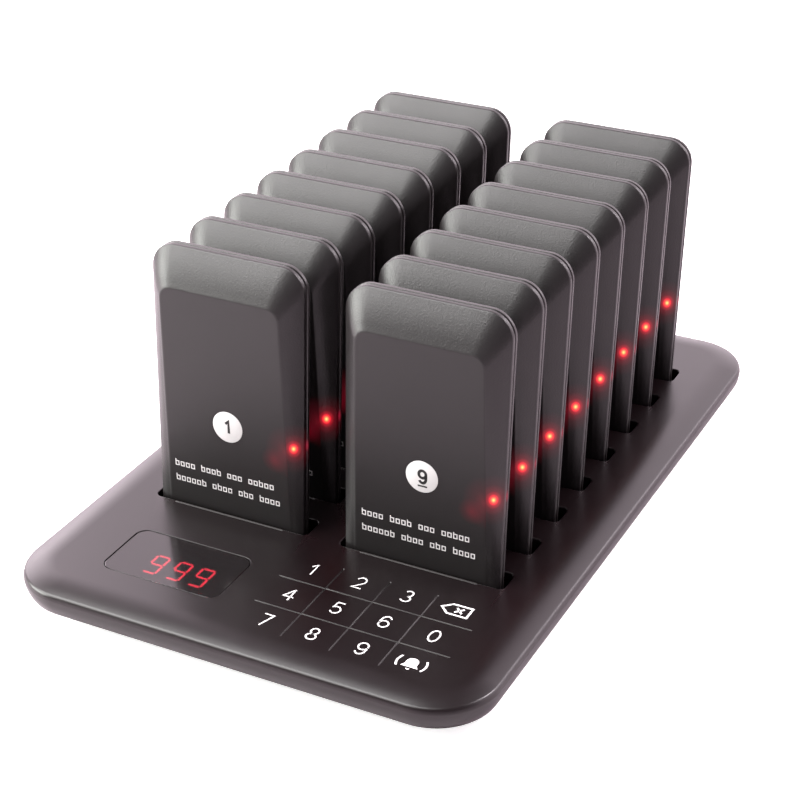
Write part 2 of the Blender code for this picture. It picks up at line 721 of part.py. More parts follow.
def make_case_screw(prefix):
    """The screw that draws the back shell onto the front shell's boss."""
    shank = 0.9 * MM
    head = 2.0 * MM
    head_height = 1.2 * MM
    tip = 7.5 * MM
    profile = [(0, tip), (shank, tip), (shank, head_height), (head, head_height), (head, 0), (0, 0)]
    place = (0, CASE_SCREW_HEAD_Y, CASE_SCREW_Z)
    screw = turned_object(prefix + "case_screw", profile, place, bright_metal, 12)
    screw.rotation_euler = (math.radians(90), 0, 0)
    return screw


def make_buzzer(prefix):
    """A round sounder with its face to the back of the case."""
    profile = [(0, BUZZER_HEIGHT), (BUZZER_RADIUS, BUZZER_HEIGHT), (BUZZER_RADIUS, 0), (0, 0)]
    buzzer = turned_object(prefix + "buzzer", profile, BUZZER_PLACE, black_plastic)
    buzzer.rotation_euler = (math.radians(-90), 0, 0)
    return buzzer


def make_pager_inside(carrier, prefix):
    """What a pager holds between its shells, in the pager's own frame."""
    pieces = [make_vibration_motor(prefix), make_motor_weight(prefix), make_contact_strip(prefix),
              make_case_screw(prefix), make_buzzer(prefix)]
    pieces.append(box_object(prefix + "circuit_board", *PAGER_BOARD, board_green))
    pieces.append(box_object(prefix + "battery", *BATTERY, battery_wrap, 0.8 * MM))
    pieces.append(box_object(prefix + "led_lamp", *LAMP, lamp_red, 0.3 * MM))
    for piece in pieces:
        piece.parent = carrier


# ---------------------------------------------------------------- build

clear_scene()
parts = new_collection("paging_set")
cutters = new_collection("cutters")

plastic = make_material("plastic", (0.040, 0.034, 0.038), 0.42)
lens_plastic = make_material("lens_plastic", (0.020, 0.014, 0.018), 0.08)
display_red = make_material("display_red", (0.35, 0.02, 0.02), 0.35)
lamp_red = make_material("lamp_red", (0.80, 0.05, 0.05), 0.20)
board_green = make_material("board_green", (0.03, 0.16, 0.07), 0.50)
black_plastic = make_material("black_plastic", (0.015, 0.015, 0.015), 0.40)
bright_metal = make_material("bright_metal", (0.72, 0.72, 0.74), 0.30, 1.0)
battery_wrap = make_material("battery_wrap", (0.50, 0.52, 0.55), 0.45)
rubber = make_material("rubber", (0.02, 0.02, 0.02), 0.85)

make_top_cover()
make_bottom_cover()
make_display()
make_boards()
make_charge_board("left_charge_board", 1)
make_charge_board("right_charge_board", 1 + ROWS)
make_antenna()
make_power_jack()
make_switch()
make_feet()
make_cover_screws()
pager_carriers = make_pagers()
make_pager_inside(pager_carriers[FULL_PAGER], "pager_%02d_" % FULL_PAGER)
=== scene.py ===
"""The looks of a restaurant pager set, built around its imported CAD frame.

Lengths are in metres, in the frame's own axes: +X right, +Y back, +Z up, origin on the table.
A pager's own frame has its origin in the middle of its bottom edge.
"""
import json
import math

import bmesh
import bpy
from mathutils import Matrix, Vector
from mathutils.geometry import delaunay_2d_cdt


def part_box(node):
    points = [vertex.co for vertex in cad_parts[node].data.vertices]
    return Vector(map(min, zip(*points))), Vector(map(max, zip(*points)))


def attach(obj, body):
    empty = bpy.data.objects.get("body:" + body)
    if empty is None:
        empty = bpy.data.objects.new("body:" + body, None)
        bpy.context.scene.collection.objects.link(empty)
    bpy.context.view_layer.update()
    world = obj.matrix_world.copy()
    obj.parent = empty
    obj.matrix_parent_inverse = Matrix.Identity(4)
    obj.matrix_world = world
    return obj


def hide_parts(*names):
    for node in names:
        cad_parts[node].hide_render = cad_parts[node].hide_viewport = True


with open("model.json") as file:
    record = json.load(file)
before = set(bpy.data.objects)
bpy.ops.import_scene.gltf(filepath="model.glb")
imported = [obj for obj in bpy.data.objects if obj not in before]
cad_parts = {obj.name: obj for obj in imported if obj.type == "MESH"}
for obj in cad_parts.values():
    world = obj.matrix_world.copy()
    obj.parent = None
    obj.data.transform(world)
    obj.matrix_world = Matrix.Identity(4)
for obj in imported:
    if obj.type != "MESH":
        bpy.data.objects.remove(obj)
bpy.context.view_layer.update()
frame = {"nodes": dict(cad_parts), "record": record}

MM = 0.001

# The base, read from the frame.
_, COVER_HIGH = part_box("top_cover")
BASE_TOP = COVER_HIGH.z
HALF_WIDTH = COVER_HIGH.x
HALF_DEPTH = COVER_HIGH.y
WINDOW_LOW, WINDOW_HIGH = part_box("display_window")
DISPLAY_LOW, DISPLAY_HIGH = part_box("digit_display")

# The base's outline and edge.
CORNER = 26.4 * MM
RIM_BOTTOM = 8.1 * MM
RIM_WIDEST = 15.5 * MM
RIM_ROLL = 13 * MM
RIM_SHOULDER = ((6.9 * MM, 0.0), (1.55 * MM, 1.95 * MM))
RIM_EDGE = ((0.71 * MM, 2.26 * MM), (0.35 * MM, 3.25 * MM))
RIM_UNDERCUT = 2.2 * MM
RIM_TURN = 0.3 * MM
COVER_WALL = 1.5 * MM
CORNER_STEPS = 20
TOLERANCE = 0.01 * MM

# Slots, key grooves and window recess.
ROWS = 8
PAGER_NUMBERS = range(1, 2 * ROWS + 1)
SLOT_HALF = (36.5 * MM, 5.9 * MM)
SLOT_CORNER = 2.4 * MM
SLOT_OFFSET_Y = 0.2 * MM
SLOT_MOUTH = 0.5 * MM
WELL_BOTTOM = 6.6 * MM
LIP_HALF = (26.2 * MM, 0.55 * MM)
LIP_OFFSET_Y = -6.35 * MM
LIP_HEIGHT = 0.2 * MM
KEY_ORIGIN = (17.9 * MM, -109.1 * MM)
KEY_PITCH = (20.85 * MM, 18.7 * MM)
GROOVE_X = (-3.2 * MM, 81.2 * MM)
GROOVE_Y = (-143.6 * MM, -93.9 * MM)
GROOVE_HALF = 0.35 * MM
GROOVE_DEPTH = 0.38 * MM
GROOVE_TAPER = 0.5 * MM
WINDOW_CORNER = 5.5 * MM
WINDOW_RECESS = 1.5 * MM
WINDOW_LEDGE = 4 * MM
WINDOW_GAP = 0.42 * MM

# Openings in the rear wall.
JACK_HOLE_Z = 13 * MM
JACK_HOLE_RADIUS = 3.4 * MM
SWITCH_HOLE_HALF = 6.2 * MM
SWITCH_HOLE_Z = (10.3 * MM, 15.7 * MM)

# One pager, in its own frame.
PAGER_HEIGHT = 125.4 * MM
PAGER_HALF_TOP = 35 * MM
PAGER_HALF_BOTTOM = 34.25 * MM
PAGER_CORNER = 10.5 * MM
PAGER_LEAN = 0.077
BAND_FRONT_Y = -4.68 * MM
BAND_DEPTH = 4.3 * MM
SEAM_Y = 2.3 * MM
SEAM_GAP = 0.5 * MM
BACK_DEPTH = 4.6 * MM
BACK_SLOPE = 6 * MM
PANEL_TOP = 110.9 * MM
PANEL_HALF_TOP = 27.35 * MM
PANEL_HALF_BOTTOM = 29.35 * MM
PANEL_CORNER = 5.5 * MM
PANEL_Y = -4.95 * MM
PANEL_LEAN = 0.0086
CROWN = 0.6 * MM
SHELL = 1.4 * MM
SCREW_Z = 22 * MM
LAMP = Vector((30.9 * MM, -2.9 * MM, 50.3 * MM))
SEAM_LEAK = Vector((35 * MM, 1.5 * MM, 50.3 * MM))
# Where the lamp's light falls on the panel, painted there as a red glow.
PANEL_LAMP_GLOW = Vector((27.9 * MM, -4.5 * MM, 48.6 * MM))
FAR_PANEL_LAMP_GLOW = Vector((22.5 * MM, -4.5 * MM, 43.5 * MM))


# ---------------------------------------------------------------- flat outlines

def oval(centre, half_x, half_y, start, end, steps):
    """Points on an ellipse between two angles in degrees."""
    points = []
    for step in range(steps + 1):
        angle = math.radians(start + (end - start) * step / steps)
        points.append((centre[0] + half_x * math.cos(angle), centre[1] + half_y * math.sin(angle)))
    return points


def arc(centre, radius, start, end, steps):
    return oval(centre, radius, radius, start, end, steps)


def quadratic(start, middle, end, t):
    return start * (1 - t) ** 2 + middle * 2 * t * (1 - t) + end * t ** 2


def rounded_rectangle(half_x, half_y, radius, steps, centre=(0, 0)):
    """A rounded rectangle, counterclockwise."""
    in_x = half_x - radius
    in_y = half_y - radius
    x, y = centre
    points = arc((x + in_x, y - in_y), radius, -90, 0, steps)
    points += arc((x + in_x, y + in_y), radius, 0, 90, steps)
    points += arc((x - in_x, y + in_y), radius, 90, 180, steps)
    points += arc((x - in_x, y - in_y), radius, 180, 270, steps)
    return points


def inside_rounded(point, half_x, half_y, radius, centre):
    """Whether a point is within a rounded rectangle."""
    over_x = max(abs(point[0] - centre[0]) - (half_x - radius), 0.0)
    over_y = max(abs(point[1] - centre[1]) - (half_y - radius), 0.0)
    return math.hypot(over_x, over_y) <= radius


def between(start, end, steps):
    """Points on a straight line, without its ends."""
    points = []
    for step in range(1, steps):
        share = step / steps
        points.append(tuple(a + (b - a) * share for a, b in zip(start, end)))
    return points


# ---------------------------------------------------------------- meshes

def add_rings(bm, loops, rings, material=0):
    """Grows faces from a loop of vertices through further rings of places. Returns the last loop."""
    for ring in rings:
        fresh = [bm.verts.new(place) for place in ring]
        for i, vertex in enumerate(loops):
            j = (i + 1) % len(loops)
            face = bm.faces.new((vertex, loops[j], fresh[j], fresh[i]))
            face.material_index = material
        loops = fresh
    return loops


def loft(bm, rings, cap_first=False, cap_last=False):
    first = [bm.verts.new(place) for place in rings[0]]
    last = add_rings(bm, first, rings[1:])
    if cap_first:
        bm.faces.new(reversed(first))
    if cap_last:
        bm.faces.new(last)
    return last


def add_box(bm, low, high):
    low = Vector(low)
    high = Vector(high)
    shape = Matrix.Translation((low + high) / 2) @ Matrix.Diagonal((*(high - low), 1.0))
    bmesh.ops.create_cube(bm, size=1.0, matrix=shape)


def add_rod(bm, x, y, z, radius, length, sides):
    """A round rod along Y, centred on a place."""
    shape = Matrix.Translation((x, y, z)) @ Matrix.Rotation(math.pi / 2, 4, 'X')
    bmesh.ops.create_cone(bm, cap_ends=True, segments=sides, radius1=radius, radius2=radius, depth=length,
                          matrix=shape)


def raw_mesh(name, bm, materials):
    mesh = bpy.data.meshes.new(name)
    bm.to_mesh(mesh)
    bm.free()
    for material in materials:
        mesh.materials.append(material)
    return mesh


def smooth_up_to(mesh, angle):
    """Smooth shading, with edges kept sharp where faces turn by more than an angle in degrees."""
    mesh.shade_smooth()
    mesh.set_sharp_from_angle(angle=math.radians(angle))


def finish_mesh(name, bm, materials, smooth_angle=30):
    bmesh.ops.recalc_face_normals(bm, faces=bm.faces)
    mesh = raw_mesh(name, bm, materials)
    smooth_up_to(mesh, smooth_angle)
    return mesh


def linked(name, data):
    item = bpy.data.objects.new(name, data)
    bpy.context.scene.collection.objects.link(item)
    return item


def place_piece(name, mesh, body, matrix=None, replaced=()):
    """Puts a mesh into the scene as a piece that rides on a CAD body."""
    piece = linked(name, mesh)
    if matrix is not None:
        piece.matrix_world = matrix
    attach(piece, body)
    if replaced:
        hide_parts(*replaced)
    return piece


def cutter(name, bm):
    return linked(name, finish_mesh(name, bm, []))


def carved(name, mesh, tools, wall=0.0):
    """The mesh, grown inwards to a wall if one is given, with the tools cut out of it."""
    draft = linked(name, mesh)
    if wall:
        modifier = draft.modifiers.new("wall", 'SOLIDIFY')
        modifier.thickness = wall
        modifier.offset = -1.0
    for tool in tools:
        modifier = draft.modifiers.new("opening", 'BOOLEAN')
        modifier.object = tool
        modifier.solver = 'EXACT'
    graph = bpy.context.evaluated_depsgraph_get()
    result = bpy.data.meshes.new_from_object(draft.evaluated_get(graph))
    result.name = name
    for item in (draft, *tools):
        bpy.data.objects.remove(item, do_unlink=True)
    return result


# ---------------------------------------------------------------- materials

class Nodes:
    """A short way to write the node tree of a material or a world."""

    def __init__(self, owner, shader="Principled BSDF", output="Material Output"):
        owner.use_nodes = True
        self.owner = owner
        self.tree = owner.node_tree
        self.shader = self.tree.nodes[shader]
        self.output = self.tree.nodes[output]

    def new(self, kind, **inputs):
        node = self.tree.nodes.new(kind)
        for key, value in inputs.items():
            self.put(node.inputs[key.replace("_", " ")], value)
        return node

    def put(self, socket, value):
        if isinstance(value, bpy.types.NodeSocket):
            self.tree.links.new(value, socket)
        elif isinstance(value, tuple) and len(value) == 3 and socket.type == 'RGBA':
            socket.default_value = (*value, 1.0)
        else:
            socket.default_value = value

    def surface(self, **inputs):
        for key, value in inputs.items():
            self.put(self.shader.inputs[key.replace("_", " ")], value)

    def coordinates(self):
        return self.new('ShaderNodeTexCoord').outputs["Object"]

    def camera_sees(self):
        """1 where the camera itself looks, 0 for reflected and scattered light."""
        return self.new('ShaderNodeLightPath').outputs["Is Camera Ray"]

    def axes(self, vector):
        return self.new('ShaderNodeSeparateXYZ', Vector=vector).outputs

    def noise(self, scale, detail=4.0, roughness=0.5, stretch=None):
        vector = self.coordinates()
        if stretch:
            vector = self.new('ShaderNodeMapping', Vector=vector, Scale=stretch).outputs[0]
        node = self.new('ShaderNodeTexNoise', Vector=vector, Scale=scale, Detail=detail,
                        Roughness=roughness)
        return node.outputs["Fac"]

    def ramp(self, value, low, high, start=0.0, end=1.0, kind='LINEAR'):
        """Maps a value between start and end to one between low and high."""
        node = self.new('ShaderNodeMapRange', Value=value, From_Min=start, From_Max=end,
                        To_Min=low, To_Max=high)
        node.interpolation_type = kind
        return node.outputs[0]

    def mix(self, factor, first, second):
        node = self.tree.nodes.new('ShaderNodeMix')
        node.data_type = 'RGBA'
        for index, value in ((0, factor), (6, first), (7, second)):
            self.put(node.inputs[index], value)
        return node.outputs[2]

    def operate(self, kind, operation, *values):
        node = self.tree.nodes.new(kind)
        node.operation = operation
        for index, value in enumerate(values):
            self.put(node.inputs[index], value)
        return node.outputs

    def maths(self, operation, *values):
        return self.operate('ShaderNodeMath', operation, *values)[0]

    def vectors(self, operation, *values):
        return self.operate('ShaderNodeVectorMath', operation, *values)

    def bump(self, height, strength, distance):
        node = self.new('ShaderNodeBump', Height=height, Strength=strength, Distance=distance)
        self.surface(Normal=node.outputs[0])

    def finish_as(self, factor, other):
        """Ends the tree in this shader, or in the other one as far as the factor says."""
        node = self.tree.nodes.new('ShaderNodeMixShader')
        for index, value in enumerate((factor, self.shader.outputs[0], other.outputs[0])):
            self.put(node.inputs[index], value)
        self.put(self.output.inputs["Surface"], node.outputs[0])


def material_nodes(name):
    return Nodes(bpy.data.materials.new(name))


def worn_edges(nodes):
    """A broken line of wear along raised edges."""
    raised = nodes.new('ShaderNodeNewGeometry').outputs["Pointiness"]
    edge = nodes.ramp(raised, 0.0, 1.0, *WORN_POINTINESS)
    return nodes.maths('MULTIPLY', edge, nodes.noise(160, 5, 0.7))


def satin_plastic(name, colour, warm, roughness, grain_scale, grain_strength):
    """Moulded plastic: slow colour drift, cloudy roughness and a fine grain."""
    nodes = material_nodes(name)
    drift = nodes.noise(14, 3)
    handling = nodes.noise(45, 6, 0.65)
    wear = worn_edges(nodes)
    pale = tuple(channel * 2.6 + 0.006 for channel in warm)
    nodes.surface(Base_Color=nodes.mix(wear, nodes.mix(drift, colour, warm), pale))
    clouded = nodes.ramp(handling, roughness - 0.05, roughness + 0.06)
    nodes.surface(Roughness=nodes.maths('SUBTRACT', clouded, nodes.maths('MULTIPLY', wear, 0.3)))
    nodes.surface(Specular_IOR_Level=0.5)
    nodes.bump(nodes.noise(grain_scale, 3, 0.6), grain_strength, 0.0002)
    return nodes


def glow_ramp(nodes, centre, reach, stops, stretch=(1, 1, 1)):
    """Colour by distance from a place in the object: stops are (share of the reach, colour)."""
    offset = nodes.vectors('SUBTRACT', nodes.coordinates(), centre)[0]
    scaled = nodes.new('ShaderNodeMapping', Vector=offset, Scale=stretch).outputs[0]
    share = nodes.maths('DIVIDE', nodes.vectors('LENGTH', scaled)["Value"], reach)
    ramp = nodes.new('ShaderNodeValToRGB', Fac=share)
    elements = ramp.color_ramp.elements
    for position, _ in stops[1:-1]:
        elements.new(position)
    for element, (position, colour) in zip(elements, stops):
        element.position = position
        element.color = (*colour, 1)
    return ramp.outputs["Color"]


def lamp_behind_border(nodes):
    """The lamp shining through the sloped border, and its light leaking at the seam."""
    spot = glow_ramp(nodes, LAMP, 9 * MM, (
        (0.0, (1.0, 0.95, 0.32)), (0.05, (1.0, 0.70, 0.18)), (0.10, (1.0, 0.17, 0.08)),
        (0.165, (0.88, 0.012, 0.03)), (0.24, (0.30, 0.004, 0.012)), (0.36, (0.09, 0.0, 0.004)),
        (0.60, (0.022, 0.0, 0.001)), (1.0, (0, 0, 0))), (1, 1, 0.8))
    leak = glow_ramp(nodes, SEAM_LEAK, 3.2 * MM, (
        (0.0, (0.38, 0.008, 0.04)), (0.4, (0.16, 0.003, 0.015)), (1.0, (0, 0, 0))), (1, 2.2, 1))
    nodes.surface(Emission_Color=nodes.vectors('ADD', spot, leak)[0], Emission_Strength=1.25)


def lamp_behind_panel(nodes):
    """A dim red glow painted on the panel, standing in for the lamp's light below and beside it."""
    near = glow_ramp(nodes, PANEL_LAMP_GLOW, 9.5 * MM, (
        (0.0, (0.13, 0.004, 0.010)), (0.2, (0.075, 0.002, 0.006)), (0.45, (0.035, 0.001, 0.003)),
        (1.0, (0, 0, 0))), (1, 1, 0.8))
    far = glow_ramp(nodes, FAR_PANEL_LAMP_GLOW, 6 * MM, (
        (0.0, (0.085, 0.0, 0.004)), (0.5, (0.035, 0.0, 0.002)), (1.0, (0, 0, 0))))
    nodes.surface(Emission_Color=nodes.vectors('ADD', near, far)[0], Emission_Strength=1.0)


def mottled(name, noise, colours, roughness, metallic=0.0):
    """A finish whose colour and gloss follow one noise. Returns its nodes and the noise."""
    nodes = material_nodes(name)
    pattern = nodes.noise(*noise)
    nodes.surface(Base_Color=nodes.mix(pattern, *colours), Metallic=metallic)
    nodes.surface(Roughness=nodes.ramp(pattern, *roughness))
    return nodes, pattern


def smoked_window():
    nodes = material_nodes("smoked_window")
    smears = nodes.noise(60, 5, 0.6)
    nodes.surface(Base_Color=(0.028, 0.018, 0.021), Transmission_Weight=0.82, IOR=1.49)
    nodes.surface(Roughness=nodes.ramp(smears, 0.10, 0.13), Specular_IOR_Level=0.5)
    nodes.bump(nodes.noise(180, 2), 0.02, 0.0001)
    return nodes.owner


def printed_ink(name, colour):
    faded = tuple(channel * 0.9 for channel in colour)
    nodes, wear = mottled(name, (900, 3, 0.7), (colour, faded), (0.38, 0.52))
    nodes.bump(wear, 0.08, 0.0001)
    return nodes.owner


def glowing(name, colour, strength):
    nodes = material_nodes(name)
    flicker = nodes.noise(700, 2)
    nodes.surface(Base_Color=(0.3, 0.01, 0.02), Roughness=nodes.ramp(flicker, 0.3, 0.45))
    brightness = nodes.ramp(flicker, strength * 0.85, strength * 1.1)
    nodes.surface(Emission_Color=colour, Emission_Strength=brightness)
    return nodes.owner


def circuit_board_finish():
    """Green solder mask with slightly raised tracks and a fine weave below it."""
    nodes = material_nodes("circuit_board_finish")
    grid = nodes.new('ShaderNodeTexBrick', Vector=nodes.coordinates(), Scale=90.0, Mortar_Size=0.035,
                     Color1=(0, 0, 0), Color2=(0.15, 0.15, 0.15), Mortar=(1, 1, 1))
    tracks = grid.outputs["Color"]
    weave = nodes.noise(1500, 2, 0.5, (1, 6, 1))
    mask = nodes.mix(weave, (0.012, 0.10, 0.035), (0.02, 0.14, 0.05))
    nodes.surface(Base_Color=nodes.mix(tracks, mask, (0.05, 0.26, 0.10)))
    nodes.surface(Roughness=nodes.ramp(weave, 0.28, 0.42))
    nodes.bump(tracks, 0.3, 0.0001)
    return nodes.owner


def plated_metal():
    steel = ((0.62, 0.61, 0.60), (0.78, 0.77, 0.76))
    nodes, brushed = mottled("plated_metal", (300, 5, 0.7, (1, 1, 12)), steel, (0.22, 0.42), 1.0)
    nodes.bump(brushed, 0.1, 0.0001)
    return nodes.owner


def gold_plate():
    gold = ((0.86, 0.62, 0.26), (0.70, 0.48, 0.20))
    nodes, _ = mottled("gold_plate", (800, 4, 0.7), gold, (0.2, 0.4), 1.0)
    return nodes.owner


def foot_rubber():
    """Black rubber, greyed by dust, with a grain."""
    dusty = ((0.016, 0.016, 0.017), (0.045, 0.043, 0.042))
    nodes, _ = mottled("foot_rubber", (220, 6, 0.7), dusty, (0.75, 0.95))
    nodes.bump(nodes.noise(1800, 3, 0.6), 0.35, 0.0002)
    return nodes.owner


def pouch_film():
    foil = ((0.50, 0.52, 0.55), (0.62, 0.63, 0.65))
    nodes, creases = mottled("pouch_film", (130, 6, 0.65), foil, (0.28, 0.5), 0.6)
    nodes.bump(creases, 0.4, 0.0004)
    return nodes.owner


WORN_POINTINESS = (0.53, 0.62)
PLUM = ((0.0030, 0.0012, 0.0016), (0.0050, 0.0015, 0.0022))
PAGER_BROWN = ((0.0068, 0.0060, 0.0062), (0.0095, 0.0076, 0.0078))
# Painted highlight: the groove grey is several times paler than the base, so the key grooves and slot lips
# show as light lines.
GROOVE_HIGHLIGHT_GREY = ((0.012, 0.010, 0.010), (0.016, 0.013, 0.013))
NEUTRAL_BLACK = ((0.012, 0.012, 0.013), (0.02, 0.02, 0.02))
UNLIT_RED = ((0.030, 0.022, 0.024), (0.04, 0.028, 0.03))

base_plastic = satin_plastic("base_plastic", *PLUM, 0.31, 3000, 0.010).owner
# The paler groove plastic paints the highlight lines of the key grooves and the slot lips.
groove_highlight_plastic = satin_plastic("groove_highlight_plastic", *GROOVE_HIGHLIGHT_GREY, 0.5, 1500, 0.1).owner
under_plastic = satin_plastic("under_plastic", *PLUM, 0.55, 1500, 0.25).owner
border_nodes = satin_plastic("pager_border", *PAGER_BROWN, 0.37, 1300, 0.42)
lamp_behind_border(border_nodes)
pager_border = border_nodes.owner
panel_nodes = satin_plastic("pager_panel", *PAGER_BROWN, 0.40, 1200, 0.03)
panel_nodes.surface(Specular_IOR_Level=0.38)
lamp_behind_panel(panel_nodes)
pager_panel = panel_nodes.owner
black_plastic = satin_plastic("black_plastic", *NEUTRAL_BLACK, 0.42, 1500, 0.2).owner
window_plastic = smoked_window()
white_ink = printed_ink("white_ink", (0.84, 0.82, 0.82))
badge_white = printed_ink("badge_white", (0.56, 0.56, 0.55))
grey_ink = printed_ink("grey_ink", (0.62, 0.61, 0.61))
black_ink = printed_ink("black_ink", (0.004, 0.004, 0.004))
segment_red = glowing("segment_red", (1.0, 0.05, 0.09), 55.0)
lamp_red = glowing("lamp_red", (1.0, 0.06, 0.05), 3.0)
segment_off = satin_plastic("segment_off", *UNLIT_RED, 0.5, 900, 0.1).owner
board_finish = circuit_board_finish()
metal_finish = plated_metal()
gold_finish = gold_plate()
rubber_finish = foot_rubber()
pouch_finish = pouch_film()


# ---------------------------------------------------------------- the rack

def pager_origin(number):
    """The place of a pager's own frame, read from its front shell."""
    low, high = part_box("pager_%02d_front_shell" % number)
    lowest_front = PANEL_Y + PANEL_LEAN * MM
    return Vector(((low.x + high.x) / 2, low.y - lowest_front, low.z))


ORIGINS = {number: pager_origin(number) for number in PAGER_NUMBERS}


# ---------------------------------------------------------------- top cover

def edge_ring(inset, z):
    outline = rounded_rectangle(HALF_WIDTH - inset, HALF_DEPTH - inset, CORNER - inset, CORNER_STEPS)
    return [(x, y, z) for x, y in outline]


def bend(start, middle, end, steps):
    """Points on a quadratic curve, without its first."""
    points = []
    for step in range(1, steps + 1):
        t = step / steps
        points.append(tuple(quadratic(a, b, c, t) for a, b, c in zip(start, middle, end)))
    return points


def rim_rings():
    """From the flat top over a gentle shoulder and a tight edge, then down and in to the lower edge."""
    drop = BASE_TOP - RIM_WIDEST
    profile = bend((RIM_ROLL, 0.0), RIM_SHOULDER[0], RIM_SHOULDER[1], 10)
    profile += bend(RIM_SHOULDER[1], RIM_EDGE[0], RIM_EDGE[1], 8)
    profile += bend(RIM_EDGE[1], (0.0, drop - RIM_TURN), (0.0, drop), 3)
    rings = [edge_ring(inset, BASE_TOP - fall) for inset, fall in profile]
    steps = 6
    for step in range(1, steps + 1):
        share = step / steps
        z = RIM_WIDEST + (RIM_BOTTOM - RIM_WIDEST) * share
        rings.append(edge_ring(RIM_UNDERCUT * share ** 2, z))
    return rings


def groove_strips():
    """Boxes (x0, y0, x1, y1) of the key grooves, in plan."""
    strips = []
    for index in range(3):
        x = KEY_ORIGIN[0] + index * KEY_PITCH[0]
        strips.append((x - GROOVE_HALF, GROOVE_Y[0], x + GROOVE_HALF, GROOVE_Y[1]))
    for index in range(2):
        y = KEY_ORIGIN[1] - index * KEY_PITCH[1]
        strips.append((GROOVE_X[0], y - GROOVE_HALF, GROOVE_X[1], y + GROOVE_HALF))
    return strips


def groove_centre(strip):
    """The bottom line of a groove, which stops short of the groove's ends."""
    x0, y0, x1, y1 = strip
    x, y = (x0 + x1) / 2, (y0 + y1) / 2
    if x1 - x0 < y1 - y0:
        return (x, y0 + GROOVE_TAPER), (x, y1 - GROOVE_TAPER)
    return (x0 + GROOVE_TAPER, y), (x1 - GROOVE_TAPER, y)


def on_line(point, line):
    (ax, ay), (bx, by) = line
    inside_x = min(ax, bx) - TOLERANCE <= point[0] <= max(ax, bx) + TOLERANCE
    inside_y = min(ay, by) - TOLERANCE <= point[1] <= max(ay, by) + TOLERANCE
    return inside_x and inside_y


def box_loop(low, high, grow, radius, steps):
    """The loop round a box seen from above: half sizes, corner radius, centre and corner steps."""
    centre = ((low.x + high.x) / 2, (low.y + high.y) / 2)
    return (high.x - low.x) / 2 + grow, (high.y - low.y) / 2 + grow, radius, centre, steps


def plan_loops():
    """The closed outlines of the openings and lips in the flat top."""
    loops = {}
    slot = [size + SLOT_MOUTH for size in (*SLOT_HALF, SLOT_CORNER)]
    for number, origin in ORIGINS.items():
        loops["slot", number] = (*slot, (origin.x, origin.y + SLOT_OFFSET_Y), 8)
        loops["lip", number] = (*LIP_HALF, LIP_HALF[1], (origin.x, origin.y + LIP_OFFSET_Y), 5)
    loops["window", 0] = box_loop(WINDOW_LOW, WINDOW_HIGH, WINDOW_GAP, WINDOW_CORNER, 8)
    return loops


def loop_points(loop, grow=0.0):
    """The points of a loop, without the doubled ones where its ends are half circles."""
    half_x, half_y, radius, centre, steps = loop
    points = rounded_rectangle(half_x + grow, half_y + grow, radius + grow, steps, centre)
    if radius < half_y:
        return points
    quarter = steps + 1
    return [point for i, point in enumerate(points) if i not in (quarter, 3 * quarter)]


def triangulated_top(bm, loops):
    """Fills the flat top and sinks the key grooves. Returns each loop's vertices."""
    points = []
    edges = []
    spans = {}

    def add_loop(key, outline):
        start = len(points)
        points.extend(Vector(point) for point in outline)
        count = len(outline)
        edges.extend((start + i, start + (i + 1) % count) for i in range(count))
        spans[key] = (start, count)

    for key, inset in (("edge", RIM_ROLL), ("hold", RIM_ROLL + MM)):
        add_loop(key, [place[:2] for place in edge_ring(inset, BASE_TOP)])
    for key, loop in loops.items():
        add_loop(key, loop_points(loop))
        if key[0] == "slot":
            # Two plain loops keep the mouth's shading off the flat; in every other slot they are
            # moved a little, so that no long row of points lies on one line.
            for grow in (0.25 * MM, 0.6 * MM):
                add_loop((grow,) + key, loop_points(loop, grow + 0.05 * MM * (key[1] % 2)))
    centres = []
    for strip in groove_strips():
        x0, y0, x1, y1 = strip
        add_loop(("strip", strip), [(x0, y0), (x1, y0), (x1, y1), (x0, y1)])
        line = groove_centre(strip)
        centres.append(line)
        start = len(points)
        points.extend(Vector(point) for point in line)
        edges.append((start, start + 1))
    flat, _, faces, origins, _, _ = delaunay_2d_cdt(points, edges, [], 0, 1e-7)
    made = []
    for point in flat:
        depth = GROOVE_DEPTH if any(on_line(point, line) for line in centres) else 0.0
        made.append(bm.verts.new((point.x, point.y, BASE_TOP - depth)))
    for face in faces:
        middle = sum((flat[i] for i in face), Vector((0, 0))) / len(face)
        if not any(inside_rounded(middle, *loop[:4]) for loop in loops.values()):
            made_face = bm.faces.new([made[i] for i in face])
            # Faces sunk into a groove take the paler plastic, a painted highlight.
            made_face.material_index = int(any(made[i].co.z < BASE_TOP - TOLERANCE for i in face))
    found = {}
    for index, sources in enumerate(origins):
        for source in sources:
            found[source] = made[index]
    return {key: [found[start + i] for i in range(count)] for key, (start, count) in spans.items()}


def stepped_rings(loop, steps):
    """Rings of a loop at (grow, z) steps."""
    return [[(x, y, z) for x, y in loop_points(loop, grow)] for grow, z in steps]


def mouth_steps():
    """A quarter round into the slot, then its wall down to the bottom of the well."""
    steps = []
    for degrees in (22.5, 45, 67.5, 90):
        angle = math.radians(degrees)
        steps.append((-SLOT_MOUTH * math.sin(angle), BASE_TOP - SLOT_MOUTH * (1 - math.cos(angle))))
    return steps + [(-SLOT_MOUTH, BASE_TOP - 3 * MM), (-SLOT_MOUTH, WELL_BOTTOM)]


def lip_steps():
    return [(-0.03 * MM, BASE_TOP + 0.04 * MM), (-0.40 * MM, BASE_TOP + 0.17 * MM),
            (-0.55 * MM, BASE_TOP + LIP_HEIGHT)]


def window_steps():
    """A small round at the edge, the recess, and the ledge that carries the window."""
    floor = BASE_TOP - WINDOW_RECESS
    return [(-0.06 * MM, BASE_TOP - 0.01 * MM), (-0.16 * MM, BASE_TOP - 0.06 * MM),
            (-0.24 * MM, BASE_TOP - 0.2 * MM), (-0.25 * MM, floor), (-WINDOW_LEDGE, floor)]


